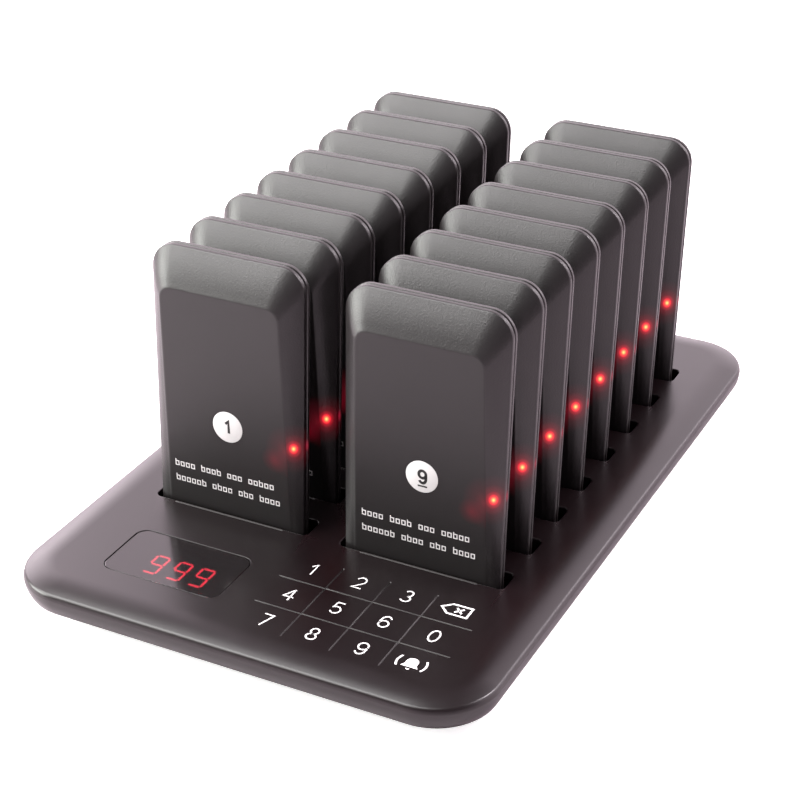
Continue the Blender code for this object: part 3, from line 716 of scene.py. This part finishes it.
def rear_cutter():
    """The tool that opens the rear wall for the jack and the switch."""
    low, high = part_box("power_jack")
    bm = bmesh.new()
    add_rod(bm, (low.x + high.x) / 2, HALF_DEPTH, JACK_HOLE_Z, JACK_HOLE_RADIUS, 16 * MM, 40)
    low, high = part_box("switch_rocker")
    middle = (low.x + high.x) / 2
    add_box(bm, (middle - SWITCH_HOLE_HALF, HALF_DEPTH - 8 * MM, SWITCH_HOLE_Z[0]),
            (middle + SWITCH_HOLE_HALF, HALF_DEPTH + MM, SWITCH_HOLE_Z[1]))
    return cutter("rear_cutter", bm)


def make_top_cover():
    bm = bmesh.new()
    loops = plan_loops()
    corners = triangulated_top(bm, loops)
    add_rings(bm, corners["edge"], rim_rings())
    steps = {"slot": mouth_steps(), "lip": lip_steps(), "window": window_steps()}
    for key, loop in loops.items():
        is_lip = key[0] == "lip"
        # Lip faces take the paler plastic too, a painted highlight along each lip.
        last = add_rings(bm, corners[key], stepped_rings(loop, steps[key[0]]), int(is_lip))
        if is_lip:
            bm.faces.new(last).material_index = 1
    mesh = finish_mesh("top_cover_shape", bm, [base_plastic, groove_highlight_plastic], 40)
    mesh = carved("top_cover_looks", mesh, [rear_cutter()], COVER_WALL)
    for polygon in mesh.polygons:
        heights = [mesh.vertices[index].co.z for index in polygon.vertices]
        polygon.use_smooth = max(abs(height - BASE_TOP) for height in heights) >= 0.001 * MM
    cover = place_piece("top_cover_looks", mesh, "base", replaced=("top_cover",))
    modifier = cover.modifiers.new("weighted_normal", 'WEIGHTED_NORMAL')
    modifier.keep_sharp = True


# ---------------------------------------------------------------- window and display

def make_window():
    loop = box_loop(WINDOW_LOW, WINDOW_HIGH, 0.0, WINDOW_CORNER - 0.3 * MM, 12)
    rings = stepped_rings(loop, (
        (-0.15 * MM, WINDOW_LOW.z), (0.0, WINDOW_LOW.z + 0.15 * MM), (0.0, WINDOW_HIGH.z - 0.25 * MM),
        (-0.07 * MM, WINDOW_HIGH.z - 0.07 * MM), (-0.25 * MM, WINDOW_HIGH.z)))
    bm = bmesh.new()
    loft(bm, rings, True, True)
    mesh = finish_mesh("window_shape", bm, [window_plastic], 10)
    place_piece("display_window_looks", mesh, "base", replaced=("display_window",))


def add_slab(bm, outline, low, high):
    loft(bm, [[(x, y, low) for x, y in outline], [(x, y, high) for x, y in outline]], True, True)


def segment_outlines(width, height, bar):
    """The seven bars of a figure: name to its outline, about the figure's centre."""
    half_w = width / 2
    half_h = height / 2
    slack = 0.2 * MM

    def bar_along(start, end):
        start, end = Vector(start), Vector(end)
        along = (end - start).normalized()
        across = Vector((-along.y, along.x)) * bar / 2
        start += along * slack
        end -= along * slack
        tip = along * bar / 2
        return [tuple(point) for point in (start, start + tip - across, end - tip - across,
                                           end, end - tip + across, start + tip + across)]

    left, right = bar / 2 - half_w, half_w - bar / 2
    low, high = bar / 2 - half_h, half_h - bar / 2
    return {
        "top": bar_along((left, high), (right, high)),
        "middle": bar_along((left, 0), (right, 0)),
        "bottom": bar_along((left, low), (right, low)),
        "upper_left": bar_along((left, 0), (left, high)),
        "lower_left": bar_along((left, low), (left, 0)),
        "upper_right": bar_along((right, 0), (right, high)),
        "lower_right": bar_along((right, low), (right, 0)),
    }


DIGIT_CENTRES = (-52.8 * MM, -41.9 * MM, -31.5 * MM)
DIGIT_Y = -121.1 * MM
DIGIT_SIZE = (6.6 * MM, 12.8 * MM)
DIGIT_BAR = 0.95 * MM
LIT_FOR_NINE = ("top", "middle", "bottom", "upper_left", "upper_right", "lower_right")


def make_display():
    """The display block with a black face, and its bars: six of each seven are lit."""
    face = DISPLAY_HIGH.z
    bm = bmesh.new()
    loop = box_loop(DISPLAY_LOW, DISPLAY_HIGH, 0.0, 0.8 * MM, 4)
    steps = ((0, DISPLAY_LOW.z), (0, face - 0.4 * MM), (-0.3 * MM, face - 0.1 * MM))
    loft(bm, stepped_rings(loop, steps), True, True)
    mesh = finish_mesh("display_block", bm, [black_plastic])
    place_piece("digit_display_looks", mesh, "base", replaced=("digit_display",))
    bars = segment_outlines(*DIGIT_SIZE, DIGIT_BAR)
    kinds = ((True, "display_bars_lit", segment_red), (False, "display_bars_dark", segment_off))
    for lit, name, material in kinds:
        bm = bmesh.new()
        for x in DIGIT_CENTRES:
            for bar_name, outline in bars.items():
                if (bar_name in LIT_FOR_NINE) == lit:
                    moved = [(px + x, py + DIGIT_Y) for px, py in outline]
                    add_slab(bm, moved, face - 0.3 * MM, face)
        place_piece(name, finish_mesh(name, bm, [material]), "base")


# ---------------------------------------------------------------- print

def half_turn(strokes):
    return [([(-x, 1 - y) for x, y in points], closed) for points, closed in strokes]


def glyph_strokes():
    """The centre lines of the figures, one unit tall: each a list of (points, closed)."""
    low, high = 0.055, 0.945
    upper, lower = ((0, 0.72), 0.205, 0.225), ((0, 0.28), 0.25, 0.225)
    six = [(oval((0, 0.32), 0.25, 0.265, 0, 345, 23), True),
           (oval((0, 0.60), 0.25, 0.345, 32, 180, 14) + [(-0.25, 0.34)], False)]
    two = oval((0, 0.68), 0.24, 0.265, 165, -38, 16) + [(-0.245, low), (0.26, low)]
    five = [(0.23, high), (-0.15, high), (-0.20, 0.52)] + oval((0.0, 0.33), 0.25, 0.275, 130, -150, 18)
    return {
        "0": [(oval((0, 0.5), 0.25, 0.445, 0, 350, 35), True)],
        "1": [([(-0.20, 0.72), (0.04, high), (0.04, low)], False)],
        "2": [(two, False)],
        "3": [(oval((-0.01, 0.72), 0.205, 0.225, 150, -90, 16), False),
              (oval((-0.01, 0.275), 0.25, 0.22, 90, -150, 16), False)],
        "4": [([(0.12, low - 0.05), (0.12, high)], False),
              ([(0.10, high - 0.02), (-0.25, 0.30), (0.30, 0.30)], False)],
        "5": [(five, False)],
        "6": six,
        "7": [([(-0.26, high), (0.25, high), (-0.07, low - 0.05)], False)],
        "8": [(oval(*upper, 0, 345, 23), True), (oval(*lower, 0, 345, 23), True)],
        "9": half_turn(six),
    }


GLYPHS = glyph_strokes()


def ribbon(bm, points, width, low, high, closed=False):
    """A thin solid of constant width along a plan line, with mitred corners."""
    points = [Vector(point) for point in points]
    count = len(points)
    stations = []
    for i, point in enumerate(points):
        before = points[i - 1] if closed or i else point - (points[1] - point)
        after = points[(i + 1) % count] if closed or i < count - 1 else point + (point - points[i - 1])
        arriving = (point - before).normalized()
        leaving = (after - point).normalized()
        bisector = (arriving + leaving).normalized()
        across = Vector((-bisector.y, bisector.x))
        across *= min(1 / max(across.dot(Vector((-arriving.y, arriving.x))), 0.1), 1.9) * width / 2
        left, right = point + across, point - across
        stations.append([bm.verts.new((*place, z)) for place, z in
                         ((left, low), (right, low), (right, high), (left, high))])
    for i in range(count if closed else count - 1):
        here, there = stations[i], stations[(i + 1) % count]
        for j in range(4):
            k = (j + 1) % 4
            bm.faces.new((here[j], here[k], there[k], there[j]))
    if not closed:
        bm.faces.new(stations[0])
        bm.faces.new(stations[-1])


def write_number(bm, text, centre, height, weight, low, high, advance=0.68):
    """Writes figures as thin solids, centred on a place."""
    for index, letter in enumerate(text):
        shift = (index - (len(text) - 1) / 2) * advance
        for points, closed in GLYPHS[letter]:
            placed = [(centre[0] + (x + shift) * height, centre[1] + (y - 0.5) * height) for x, y in points]
            ribbon(bm, placed, weight * height, low, high, closed)


def key_centre(column, row):
    x = KEY_ORIGIN[0] + (column - 0.5) * KEY_PITCH[0]
    y = KEY_ORIGIN[1] + (0.5 - row) * KEY_PITCH[1]
    return x, y


KEY_ROWS = ("123", "4560", "789")
KEY_TEXT_HEIGHT = 7.9 * MM
KEY_TEXT_WEIGHT = 0.080
INK = (BASE_TOP, BASE_TOP + 0.05 * MM)
ERASE_STROKE = 0.85 * MM
BELL_STROKE = 0.8 * MM


def scaled_about(x, y, points):
    """Places given in millimetres from a centre."""
    return [(x + across * MM, y + up * MM) for across, up in points]


def make_erase_icon(bm, x, y):
    """An arrow-shaped box with a cross in it."""
    outline = ((-6.0, 0), (-2.4, 3.2), (5.8, 3.2), (5.8, -3.2), (-2.4, -3.2))
    ribbon(bm, scaled_about(x, y, outline), ERASE_STROKE, *INK, True)
    for stroke in (((0, -1.5), (3.0, 1.5)), ((0, 1.5), (3.0, -1.5))):
        ribbon(bm, scaled_about(x, y, stroke), ERASE_STROKE, *INK)


def make_bell_icon(bm, x, y):
    """A hand bell with a clapper under it and a ringing arc on each side."""
    dome = arc((x, y + 0.6 * MM), 2.5 * MM, 0, 180, 14)
    right = scaled_about(x, y, ((-3.6, -2.4), (3.6, -2.4), (2.5, -0.9)))
    add_slab(bm, right + dome + scaled_about(x, y, ((-2.5, -0.9),)), *INK)
    add_slab(bm, arc((x, y - 3.3 * MM), 0.8 * MM, 180, 360, 10), *INK)
    for start, end in ((-32, 32), (148, 212)):
        ribbon(bm, arc((x, y), 5.9 * MM, start, end, 8), BELL_STROKE, *INK)


def make_key_legends():
    """The printed figures, and the two signs in the last column."""
    drawings = {"erase": (make_erase_icon, 3, 0), "bell": (make_bell_icon, 3, 2)}
    for row, labels in enumerate(KEY_ROWS):
        for column, label in enumerate(labels):
            drawings[label] = (None, column, row)
    for label, (draw, column, row) in drawings.items():
        name = "key_legend_" + label
        bm = bmesh.new()
        if draw:
            draw(bm, *key_centre(column, row))
        else:
            write_number(bm, label, key_centre(column, row), KEY_TEXT_HEIGHT, KEY_TEXT_WEIGHT, *INK)
        place_piece(name, finish_mesh(name, bm, [white_ink]), "base")


# ---------------------------------------------------------------- pager shells

SIDE_STEPS = 14
TOP_STEPS = 6
ROUND_STEPS = 12


def pager_outline(half_top, half_bottom, bottom, top, top_radius, bottom_radius):
    """Front view of a pager, counterclockwise from the bottom, with the same points in every ring."""
    lower_right = arc((half_bottom - bottom_radius, bottom + bottom_radius), bottom_radius, -90, 0, 3)
    upper_right = arc((half_top - top_radius, top - top_radius), top_radius, 0, 90, ROUND_STEPS)
    right = lower_right + between(lower_right[-1], upper_right[0], SIDE_STEPS) + upper_right
    left = [(-x, z) for x, z in reversed(right)]
    return right + between(right[-1], left[0], TOP_STEPS) + left


def body_outline(inset=0.0, lift=0.0):
    return pager_outline(PAGER_HALF_TOP - inset, PAGER_HALF_BOTTOM - inset, lift, PAGER_HEIGHT - inset,
                         PAGER_CORNER - inset / 2, 2 * MM)


def leaning(outline, offset):
    """Puts an outline on the plane of the seam, offset back from the band's front edge."""
    return [Vector((x, BAND_FRONT_Y + PAGER_LEAN * z + offset, z)) for x, z in outline]


def panel_places(inset=0.0):
    outline = pager_outline(PANEL_HALF_TOP - inset, PANEL_HALF_BOTTOM - inset, MM + inset, PANEL_TOP - inset,
                            PANEL_CORNER - inset, 1.5 * MM - inset * 0.5)
    return [Vector((x, PANEL_Y + PANEL_LEAN * z, z)) for x, z in outline]


def rounded_corner(before, corner, after, steps):
    """Rings that turn from one direction to another, by a quadratic curve at every point."""
    rings = []
    for step in range(steps + 1):
        t = step / steps
        rings.append([quadratic(a, b, c, t) for a, b, c in zip(before, corner, after)])
    return rings


def towards(start, end, reach, limit):
    """Places a short way from start towards end, never past a share of the distance."""
    places = []
    for a, b in zip(start, end):
        span = b - a
        share = min(reach / max(span.length, 1e-9), limit)
        places.append(a + span * share)
    return places


def slope_rings(start, end, steps, crown):
    """Rings across a sloped border that bulges a little towards the viewer."""
    rings = []
    for step in range(1, steps):
        t = step / steps
        lift = crown * 4 * t * (1 - t)
        ring = []
        for a, b in zip(start, end):
            share = min((b - a).length / (10 * MM), 1.0)
            ring.append(a.lerp(b, t) + Vector((0, -lift * share, 0)))
        rings.append(ring)
    return rings


def band_corner(outline, first, band, inner, reach):
    """The seam's edge to the start of the slope: rings, and the slope's first and last rings."""
    band_start = leaning(body_outline(), first)
    slope_start = towards(band, inner, 0.6 * MM, 0.25)
    rings = outline + rounded_corner(band_start, band, slope_start, 4)
    return rings, slope_start, towards(inner, band, reach, 0.35)


def front_shell_mesh():
    seam_edge = leaning(body_outline(0.5 * MM, 0.25 * MM), SEAM_Y - SEAM_GAP / 2)
    seam = leaning(body_outline(), SEAM_Y - SEAM_GAP / 2 - 0.35 * MM)
    band = leaning(body_outline(), 0.0)
    panel = panel_places()
    rings, start, end = band_corner([seam_edge, seam], 0.55 * MM, band, panel, 0.7 * MM)
    rings += slope_rings(start, end, 6, CROWN)
    turn = rounded_corner(end, panel, panel_places(0.7 * MM), 4)
    bm = bmesh.new()
    last = loft(bm, rings + turn[:3])
    last = add_rings(bm, last, turn[3:] + [panel_places(1.3 * MM)], 1)
    bm.faces.new(last).material_index = 1
    return thick_shell("front_shell_shape", bm, [pager_border, pager_panel], [notch_tool()])


def back_shell_mesh():
    depth = BAND_DEPTH + BACK_DEPTH
    seam_edge = leaning(body_outline(0.5 * MM, 0.25 * MM), SEAM_Y + SEAM_GAP / 2)
    seam = leaning(body_outline(), SEAM_Y + SEAM_GAP / 2 + 0.3 * MM)
    band = leaning(body_outline(), BAND_DEPTH)
    back = leaning(body_outline(BACK_SLOPE, 2 * MM), depth)
    rings, start, end = band_corner([seam_edge, seam], BAND_DEPTH - 0.5 * MM, band, back, MM)
    rings += slope_rings(start, end, 4, -0.25 * MM)
    rings += rounded_corner(end, back, leaning(body_outline(BACK_SLOPE + MM, 3 * MM), depth), 4)
    bm = bmesh.new()
    bm.faces.new(loft(bm, rings))
    return thick_shell("back_shell_shape", bm, [pager_border], [notch_tool(), screw_well_tool()])


def thick_shell(name, bm, materials, tools):
    """Gives an open surface its wall, and cuts the tools out of it."""
    outline_normals_out(bm)
    mesh = carved(name, raw_mesh(name, bm, materials), tools, SHELL)
    smooth_up_to(mesh, 28)
    return mesh


def outline_normals_out(bm):
    """Turns all faces so that they point away from the middle of the pager."""
    bmesh.ops.recalc_face_normals(bm, faces=bm.faces)
    bm.normal_update()
    middle = Vector((0, 4 * MM, 60 * MM))
    score = 0.0
    for face in bm.faces:
        score += face.normal.dot(face.calc_center_median() - middle) * face.calc_area()
    if score < 0:
        bmesh.ops.reverse_faces(bm, faces=bm.faces)


def notch_tool():
    bm = bmesh.new()
    add_box(bm, (-13.3 * MM, -3.4 * MM, -MM), (13.3 * MM, -1.2 * MM, 2.5 * MM))
    return cutter("notch_tool", bm)


def screw_well_tool():
    """A round well in the back face for the case screw."""
    bm = bmesh.new()
    add_rod(bm, 0, 9 * MM, SCREW_Z, 2.5 * MM, 14 * MM, 32)
    return cutter("screw_well_tool", bm)


# ---------------------------------------------------------------- pager fittings

BADGE = (1.2 * MM, 53.5 * MM)
BADGE_RADIUS = 6.95 * MM
NUMERAL = (1.45 * MM, 53.5 * MM)
NUMERAL_HEIGHT = 6.15 * MM
NUMERAL_WEIGHT = 0.195
UNDERLINE_Z = 49.3 * MM
UNDERLINE_HALF = (2.05 * MM, 0.36 * MM)
WORD_LINES = ((30.6 * MM, (4, 4, 3, 5)), (23.6 * MM, (6, 4, 3, 4)))
WORDS_LEFT = -26.0 * MM
LETTER_PITCH = 2.52 * MM
TALL_CELLS = (0, 5, 8, 13, 16)
CELL_HALF = 0.72 * MM
CELL_STROKE = 0.42 * MM


def face_matrix(number):
    """From a drawing plane (X right, Y up) onto a pager's panel."""
    lean = math.pi / 2 - math.atan(PANEL_LEAN)
    on_panel = Matrix.Translation((0, PANEL_Y, 0)) @ Matrix.Rotation(lean, 4, 'X')
    return Matrix.Translation(ORIGINS[number]) @ on_panel


def badge_mesh():
    bm = bmesh.new()
    rings = []
    for inset, height in ((0.0, -0.1 * MM), (0.0, 0.07 * MM), (0.08 * MM, 0.1 * MM)):
        rings.append([(x, y, height) for x, y in arc(BADGE, BADGE_RADIUS - inset, 0, 352.5, 47)])
    loft(bm, rings, True, True)
    return finish_mesh("badge_shape", bm, [badge_white])


def numeral_mesh(number):
    """The pager's number on its badge; 6 and 9 are underlined."""
    low, high = 0.1 * MM, 0.14 * MM
    bm = bmesh.new()
    write_number(bm, str(number), NUMERAL, NUMERAL_HEIGHT, NUMERAL_WEIGHT, low, high, 0.76)
    if number in (6, 9):
        add_box(bm, (NUMERAL[0] - UNDERLINE_HALF[0], UNDERLINE_Z - UNDERLINE_HALF[1], low),
                (NUMERAL[0] + UNDERLINE_HALF[0], UNDERLINE_Z + UNDERLINE_HALF[1], high))
    return finish_mesh("numeral_%02d" % number, bm, [black_ink])


def small_print_mesh():
    """Two lines of hollow cells, grouped like words, in place of a printed message."""
    bm = bmesh.new()
    heights = (-0.02 * MM, 0.04 * MM)
    for line_z, words in WORD_LINES:
        foot, head = line_z - 1.3 * MM, line_z + 0.55 * MM
        cell = 0
        for word in words:
            for _ in range(word):
                x = WORDS_LEFT + (cell + 0.5) * LETTER_PITCH
                left, right = x - CELL_HALF, x + CELL_HALF
                outline = [(left, foot), (right, foot), (right, head), (left, head)]
                ribbon(bm, outline, CELL_STROKE, *heights, True)
                if cell in TALL_CELLS:
                    ribbon(bm, [(left, head), (left, head + 0.95 * MM)], CELL_STROKE, *heights)
                cell += 1
            cell += 1
    return finish_mesh("small_print_shape", bm, [grey_ink])


def contact_mesh():
    """The moulded strip in the bottom edge with its two gold pads."""
    bm = bmesh.new()
    add_box(bm, (-12.9 * MM, -3.1 * MM, 0.3 * MM), (12.9 * MM, -1.5 * MM, 6 * MM))
    plain = len(bm.faces)
    for x in (-10 * MM, 10 * MM):
        add_box(bm, (x - 2.4 * MM, -2.9 * MM, 0.0), (x + 2.4 * MM, -1.8 * MM, MM))
    bm.faces.ensure_lookup_table()
    for face in bm.faces[plain:]:
        face.material_index = 1
    edges = [edge for edge in bm.edges if edge.calc_length() > 0.5 * MM]
    bmesh.ops.bevel(bm, geom=edges, offset=0.08 * MM, segments=2, affect='EDGES')
    return finish_mesh("contact_shape", bm, [black_plastic, gold_finish])


def screw_mesh(head_radius, head_height):
    """A domed screw head with a cross recess, its axis along -Y and its top at the origin."""
    bm = bmesh.new()
    rings = []
    for share, depth in ((1.0, head_height), (1.0, 0.35 * MM), (0.85, 0.1 * MM), (0.55, 0.0)):
        rings.append([(x, -depth, z) for x, z in arc((0, 0), head_radius * share, 0, 345, 23)])
    loft(bm, rings, True, True)
    head = finish_mesh("screw_head_shape", bm, [metal_finish], 40)
    reach = head_radius * 0.62
    tools = []
    for half_x, half_z in ((reach, reach * 0.22), (reach * 0.22, reach)):
        bm = bmesh.new()
        add_box(bm, (-half_x, -head_height * 0.55, -half_z), (half_x, MM, half_z))
        tools.append(cutter("recess_tool", bm))
    return carved("screw_head_shape", head, tools)


def make_pagers():
    """Dresses every pager. A piece takes the place of the CAD node named with it, where there is one."""
    front = front_shell_mesh()
    back = back_shell_mesh()
    badge = badge_mesh()
    print_lines = small_print_mesh()
    contacts = contact_mesh()
    screw = screw_mesh(2.0 * MM, 1.2 * MM)
    for number in PAGER_NUMBERS:
        body = "pager_%02d" % number
        at = Matrix.Translation(ORIGINS[number])
        face = face_matrix(number)
        screw_at = at @ Matrix.Translation((0, 5 * MM, SCREW_Z))
        for name, mesh, slot, place, node in (
                ("front_looks", front, "casing", at, "front_shell"),
                ("back_looks", back, "casing", at, "back_shell"),
                ("badge", badge, "print_white", face, ""),
                ("numeral", numeral_mesh(number), "black_plastic", face, ""),
                ("small_print", print_lines, "print_white", face, ""),
                ("contacts", contacts, "black_plastic", at, "contact_strip"),
                ("screw_looks", screw, "bright_metal", screw_at, "case_screw")):
            replaced = [full for full in (body + "_" + node,) if full in frame["nodes"]]
            place_piece(body + "_" + name, mesh, body, place, replaced)


# ---------------------------------------------------------------- CAD nodes that stay

def dress_cad_nodes():
    """Gives every CAD node that still shows the finish of its material slot."""
    finishes = {"casing": under_plastic, "circuit_board": board_finish, "black_plastic": black_plastic,
                "bright_metal": metal_finish, "battery_wrap": pouch_finish, "rubber_foot": rubber_finish,
                "lamp": lamp_red}
    slots = {part["node"]: part["material_slot"] for part in frame["record"]["subparts"]}
    for name, node in frame["nodes"].items():
        if node.hide_render:
            continue
        node.data.materials.clear()
        node.data.materials.append(finishes[slots[name]])


# ---------------------------------------------------------------- stage

BACKDROP_STRENGTH = 2.6
ROOM_STRENGTH = 0.35
LIGHT_AIM = Vector((0, 0, 0.06))
# Each light: its direction from the object, distance, size, radiance and colour.
LIGHTS = {
    "overhead_softbox": ((-0.22, -0.22, 1.0), 1.3, (1.0, 0.24), 11.0, (1.0, 1.0, 1.0)),
    "front_left_softbox": ((-0.82, -0.57, 1.08), 1.4, (1.05, 0.86), 11.0, (1.0, 0.985, 0.975)),
    "back_left_softbox": ((-0.95, 0.42, 0.42), 1.5, (0.8, 0.7), 4.8, (1.0, 0.89, 0.95)),
    "back_right_strip": ((0.55, 0.75, 0.42), 1.5, (0.14, 0.6), 10.0, (1.0, 0.93, 0.97)),
    "low_left_card": ((-0.85, -0.50, 0.27), 1.5, (0.85, 0.60), 17.0, (0.98, 1.0, 0.95)),
    "upper_right_card": ((0.56, 0.38, 0.73), 1.5, (0.42, 0.36), 34.0, (1.0, 0.93, 0.97)),
}


def make_stage():
    """A pale floor a hair below the feet. It is clear from below, so that the underside can be seen."""
    nodes = material_nodes("studio_floor")
    nodes.surface(Roughness=nodes.ramp(nodes.noise(8, 3), 0.55, 0.7))
    seen = nodes.camera_sees()
    rightwards = nodes.ramp(nodes.axes(nodes.coordinates())["X"], 0.0, 1.0, -0.1, 0.35)
    reflected = nodes.mix(rightwards, (0.78, 0.70, 0.745), (0.52, 0.455, 0.49))
    nodes.surface(Base_Color=nodes.mix(seen, reflected, (0.92, 0.91, 0.915)))
    nodes.surface(Emission_Color=(1, 1, 1), Emission_Strength=nodes.maths('MULTIPLY', seen, 0.7))
    from_below = nodes.new('ShaderNodeNewGeometry').outputs["Backfacing"]
    nodes.finish_as(from_below, nodes.new('ShaderNodeBsdfTransparent'))
    bpy.ops.mesh.primitive_plane_add(size=12, location=(0, 0, -0.1 * MM))
    floor = bpy.context.object
    floor.name = "studio_floor"
    floor.data.materials.append(nodes.owner)


def add_softbox(name, direction, distance, size, radiance, colour):
    """A rectangular light that faces the object, as bright as given however large it is."""
    towards_light = Vector(direction).normalized()
    light = bpy.data.lights.new(name, 'AREA')
    light.shape = 'RECTANGLE'
    light.size, light.size_y = size
    light.energy = math.pi * size[0] * size[1] * radiance
    light.color = colour
    item = linked(name, light)
    item.location = LIGHT_AIM + towards_light * distance
    item.rotation_euler = towards_light.to_track_quat('Z', 'Y').to_euler()


def make_world():
    """A dim room with a bright backdrop behind the object. The camera itself sees plain white."""
    world = bpy.data.worlds.new("studio_world")
    bpy.context.scene.world = world
    nodes = Nodes(world, "Background", "World Output")
    direction = nodes.axes(nodes.new('ShaderNodeTexCoord').outputs["Generated"])
    behind = nodes.ramp(direction["Y"], 0.0, 1.0, -0.25, 0.45, 'SMOOTHSTEP')
    low = nodes.ramp(direction["Z"], 0.0, 1.0, 0.82, 0.60, 'SMOOTHSTEP')
    backdrop = nodes.maths('MULTIPLY', behind, low)
    strength = nodes.maths('MULTIPLY_ADD', backdrop, BACKDROP_STRENGTH, ROOM_STRENGTH)
    nodes.surface(Color=(1.0, 0.86, 0.94), Strength=strength)
    nodes.finish_as(nodes.camera_sees(), nodes.new('ShaderNodeBackground', Color=(1, 1, 1)))


def make_lights():
    make_world()
    for name, settings in LIGHTS.items():
        add_softbox(name, *settings)


def make_camera():
    """The camera of a tabletop product shot: from the front right, about 30 degrees up."""
    azimuth = math.radians(27.49)
    elevation = math.radians(29.74)
    roll = math.radians(-0.88)
    target = Vector((36.47 * MM, -69.90 * MM, 80.07 * MM))
    distance = 740.85 * MM
    back = Vector((math.sin(azimuth) * math.cos(elevation), -math.cos(azimuth) * math.cos(elevation),
                   math.sin(elevation)))
    level = Vector((math.cos(azimuth), math.sin(azimuth), 0))
    upright = back.cross(level)
    right = level * math.cos(roll) + upright * math.sin(roll)
    up = upright * math.cos(roll) - level * math.sin(roll)
    camera = bpy.data.cameras.new("product_camera")
    camera.sensor_width = 36
    camera.lens = 86.35
    camera.shift_x = -0.01418
    camera.shift_y = 0.02510
    camera.clip_start = 0.01
    item = linked("product_camera", camera)
    axes = Matrix((right, up, back)).transposed().to_4x4()
    item.matrix_world = Matrix.Translation(target + back * distance) @ axes
    bpy.context.scene.camera = item


make_top_cover()
make_window()
make_display()
make_key_legends()
make_pagers()
dress_cad_nodes()
make_stage()
make_lights()
make_camera()
bpy.context.scene.view_settings.view_transform = 'Standard'
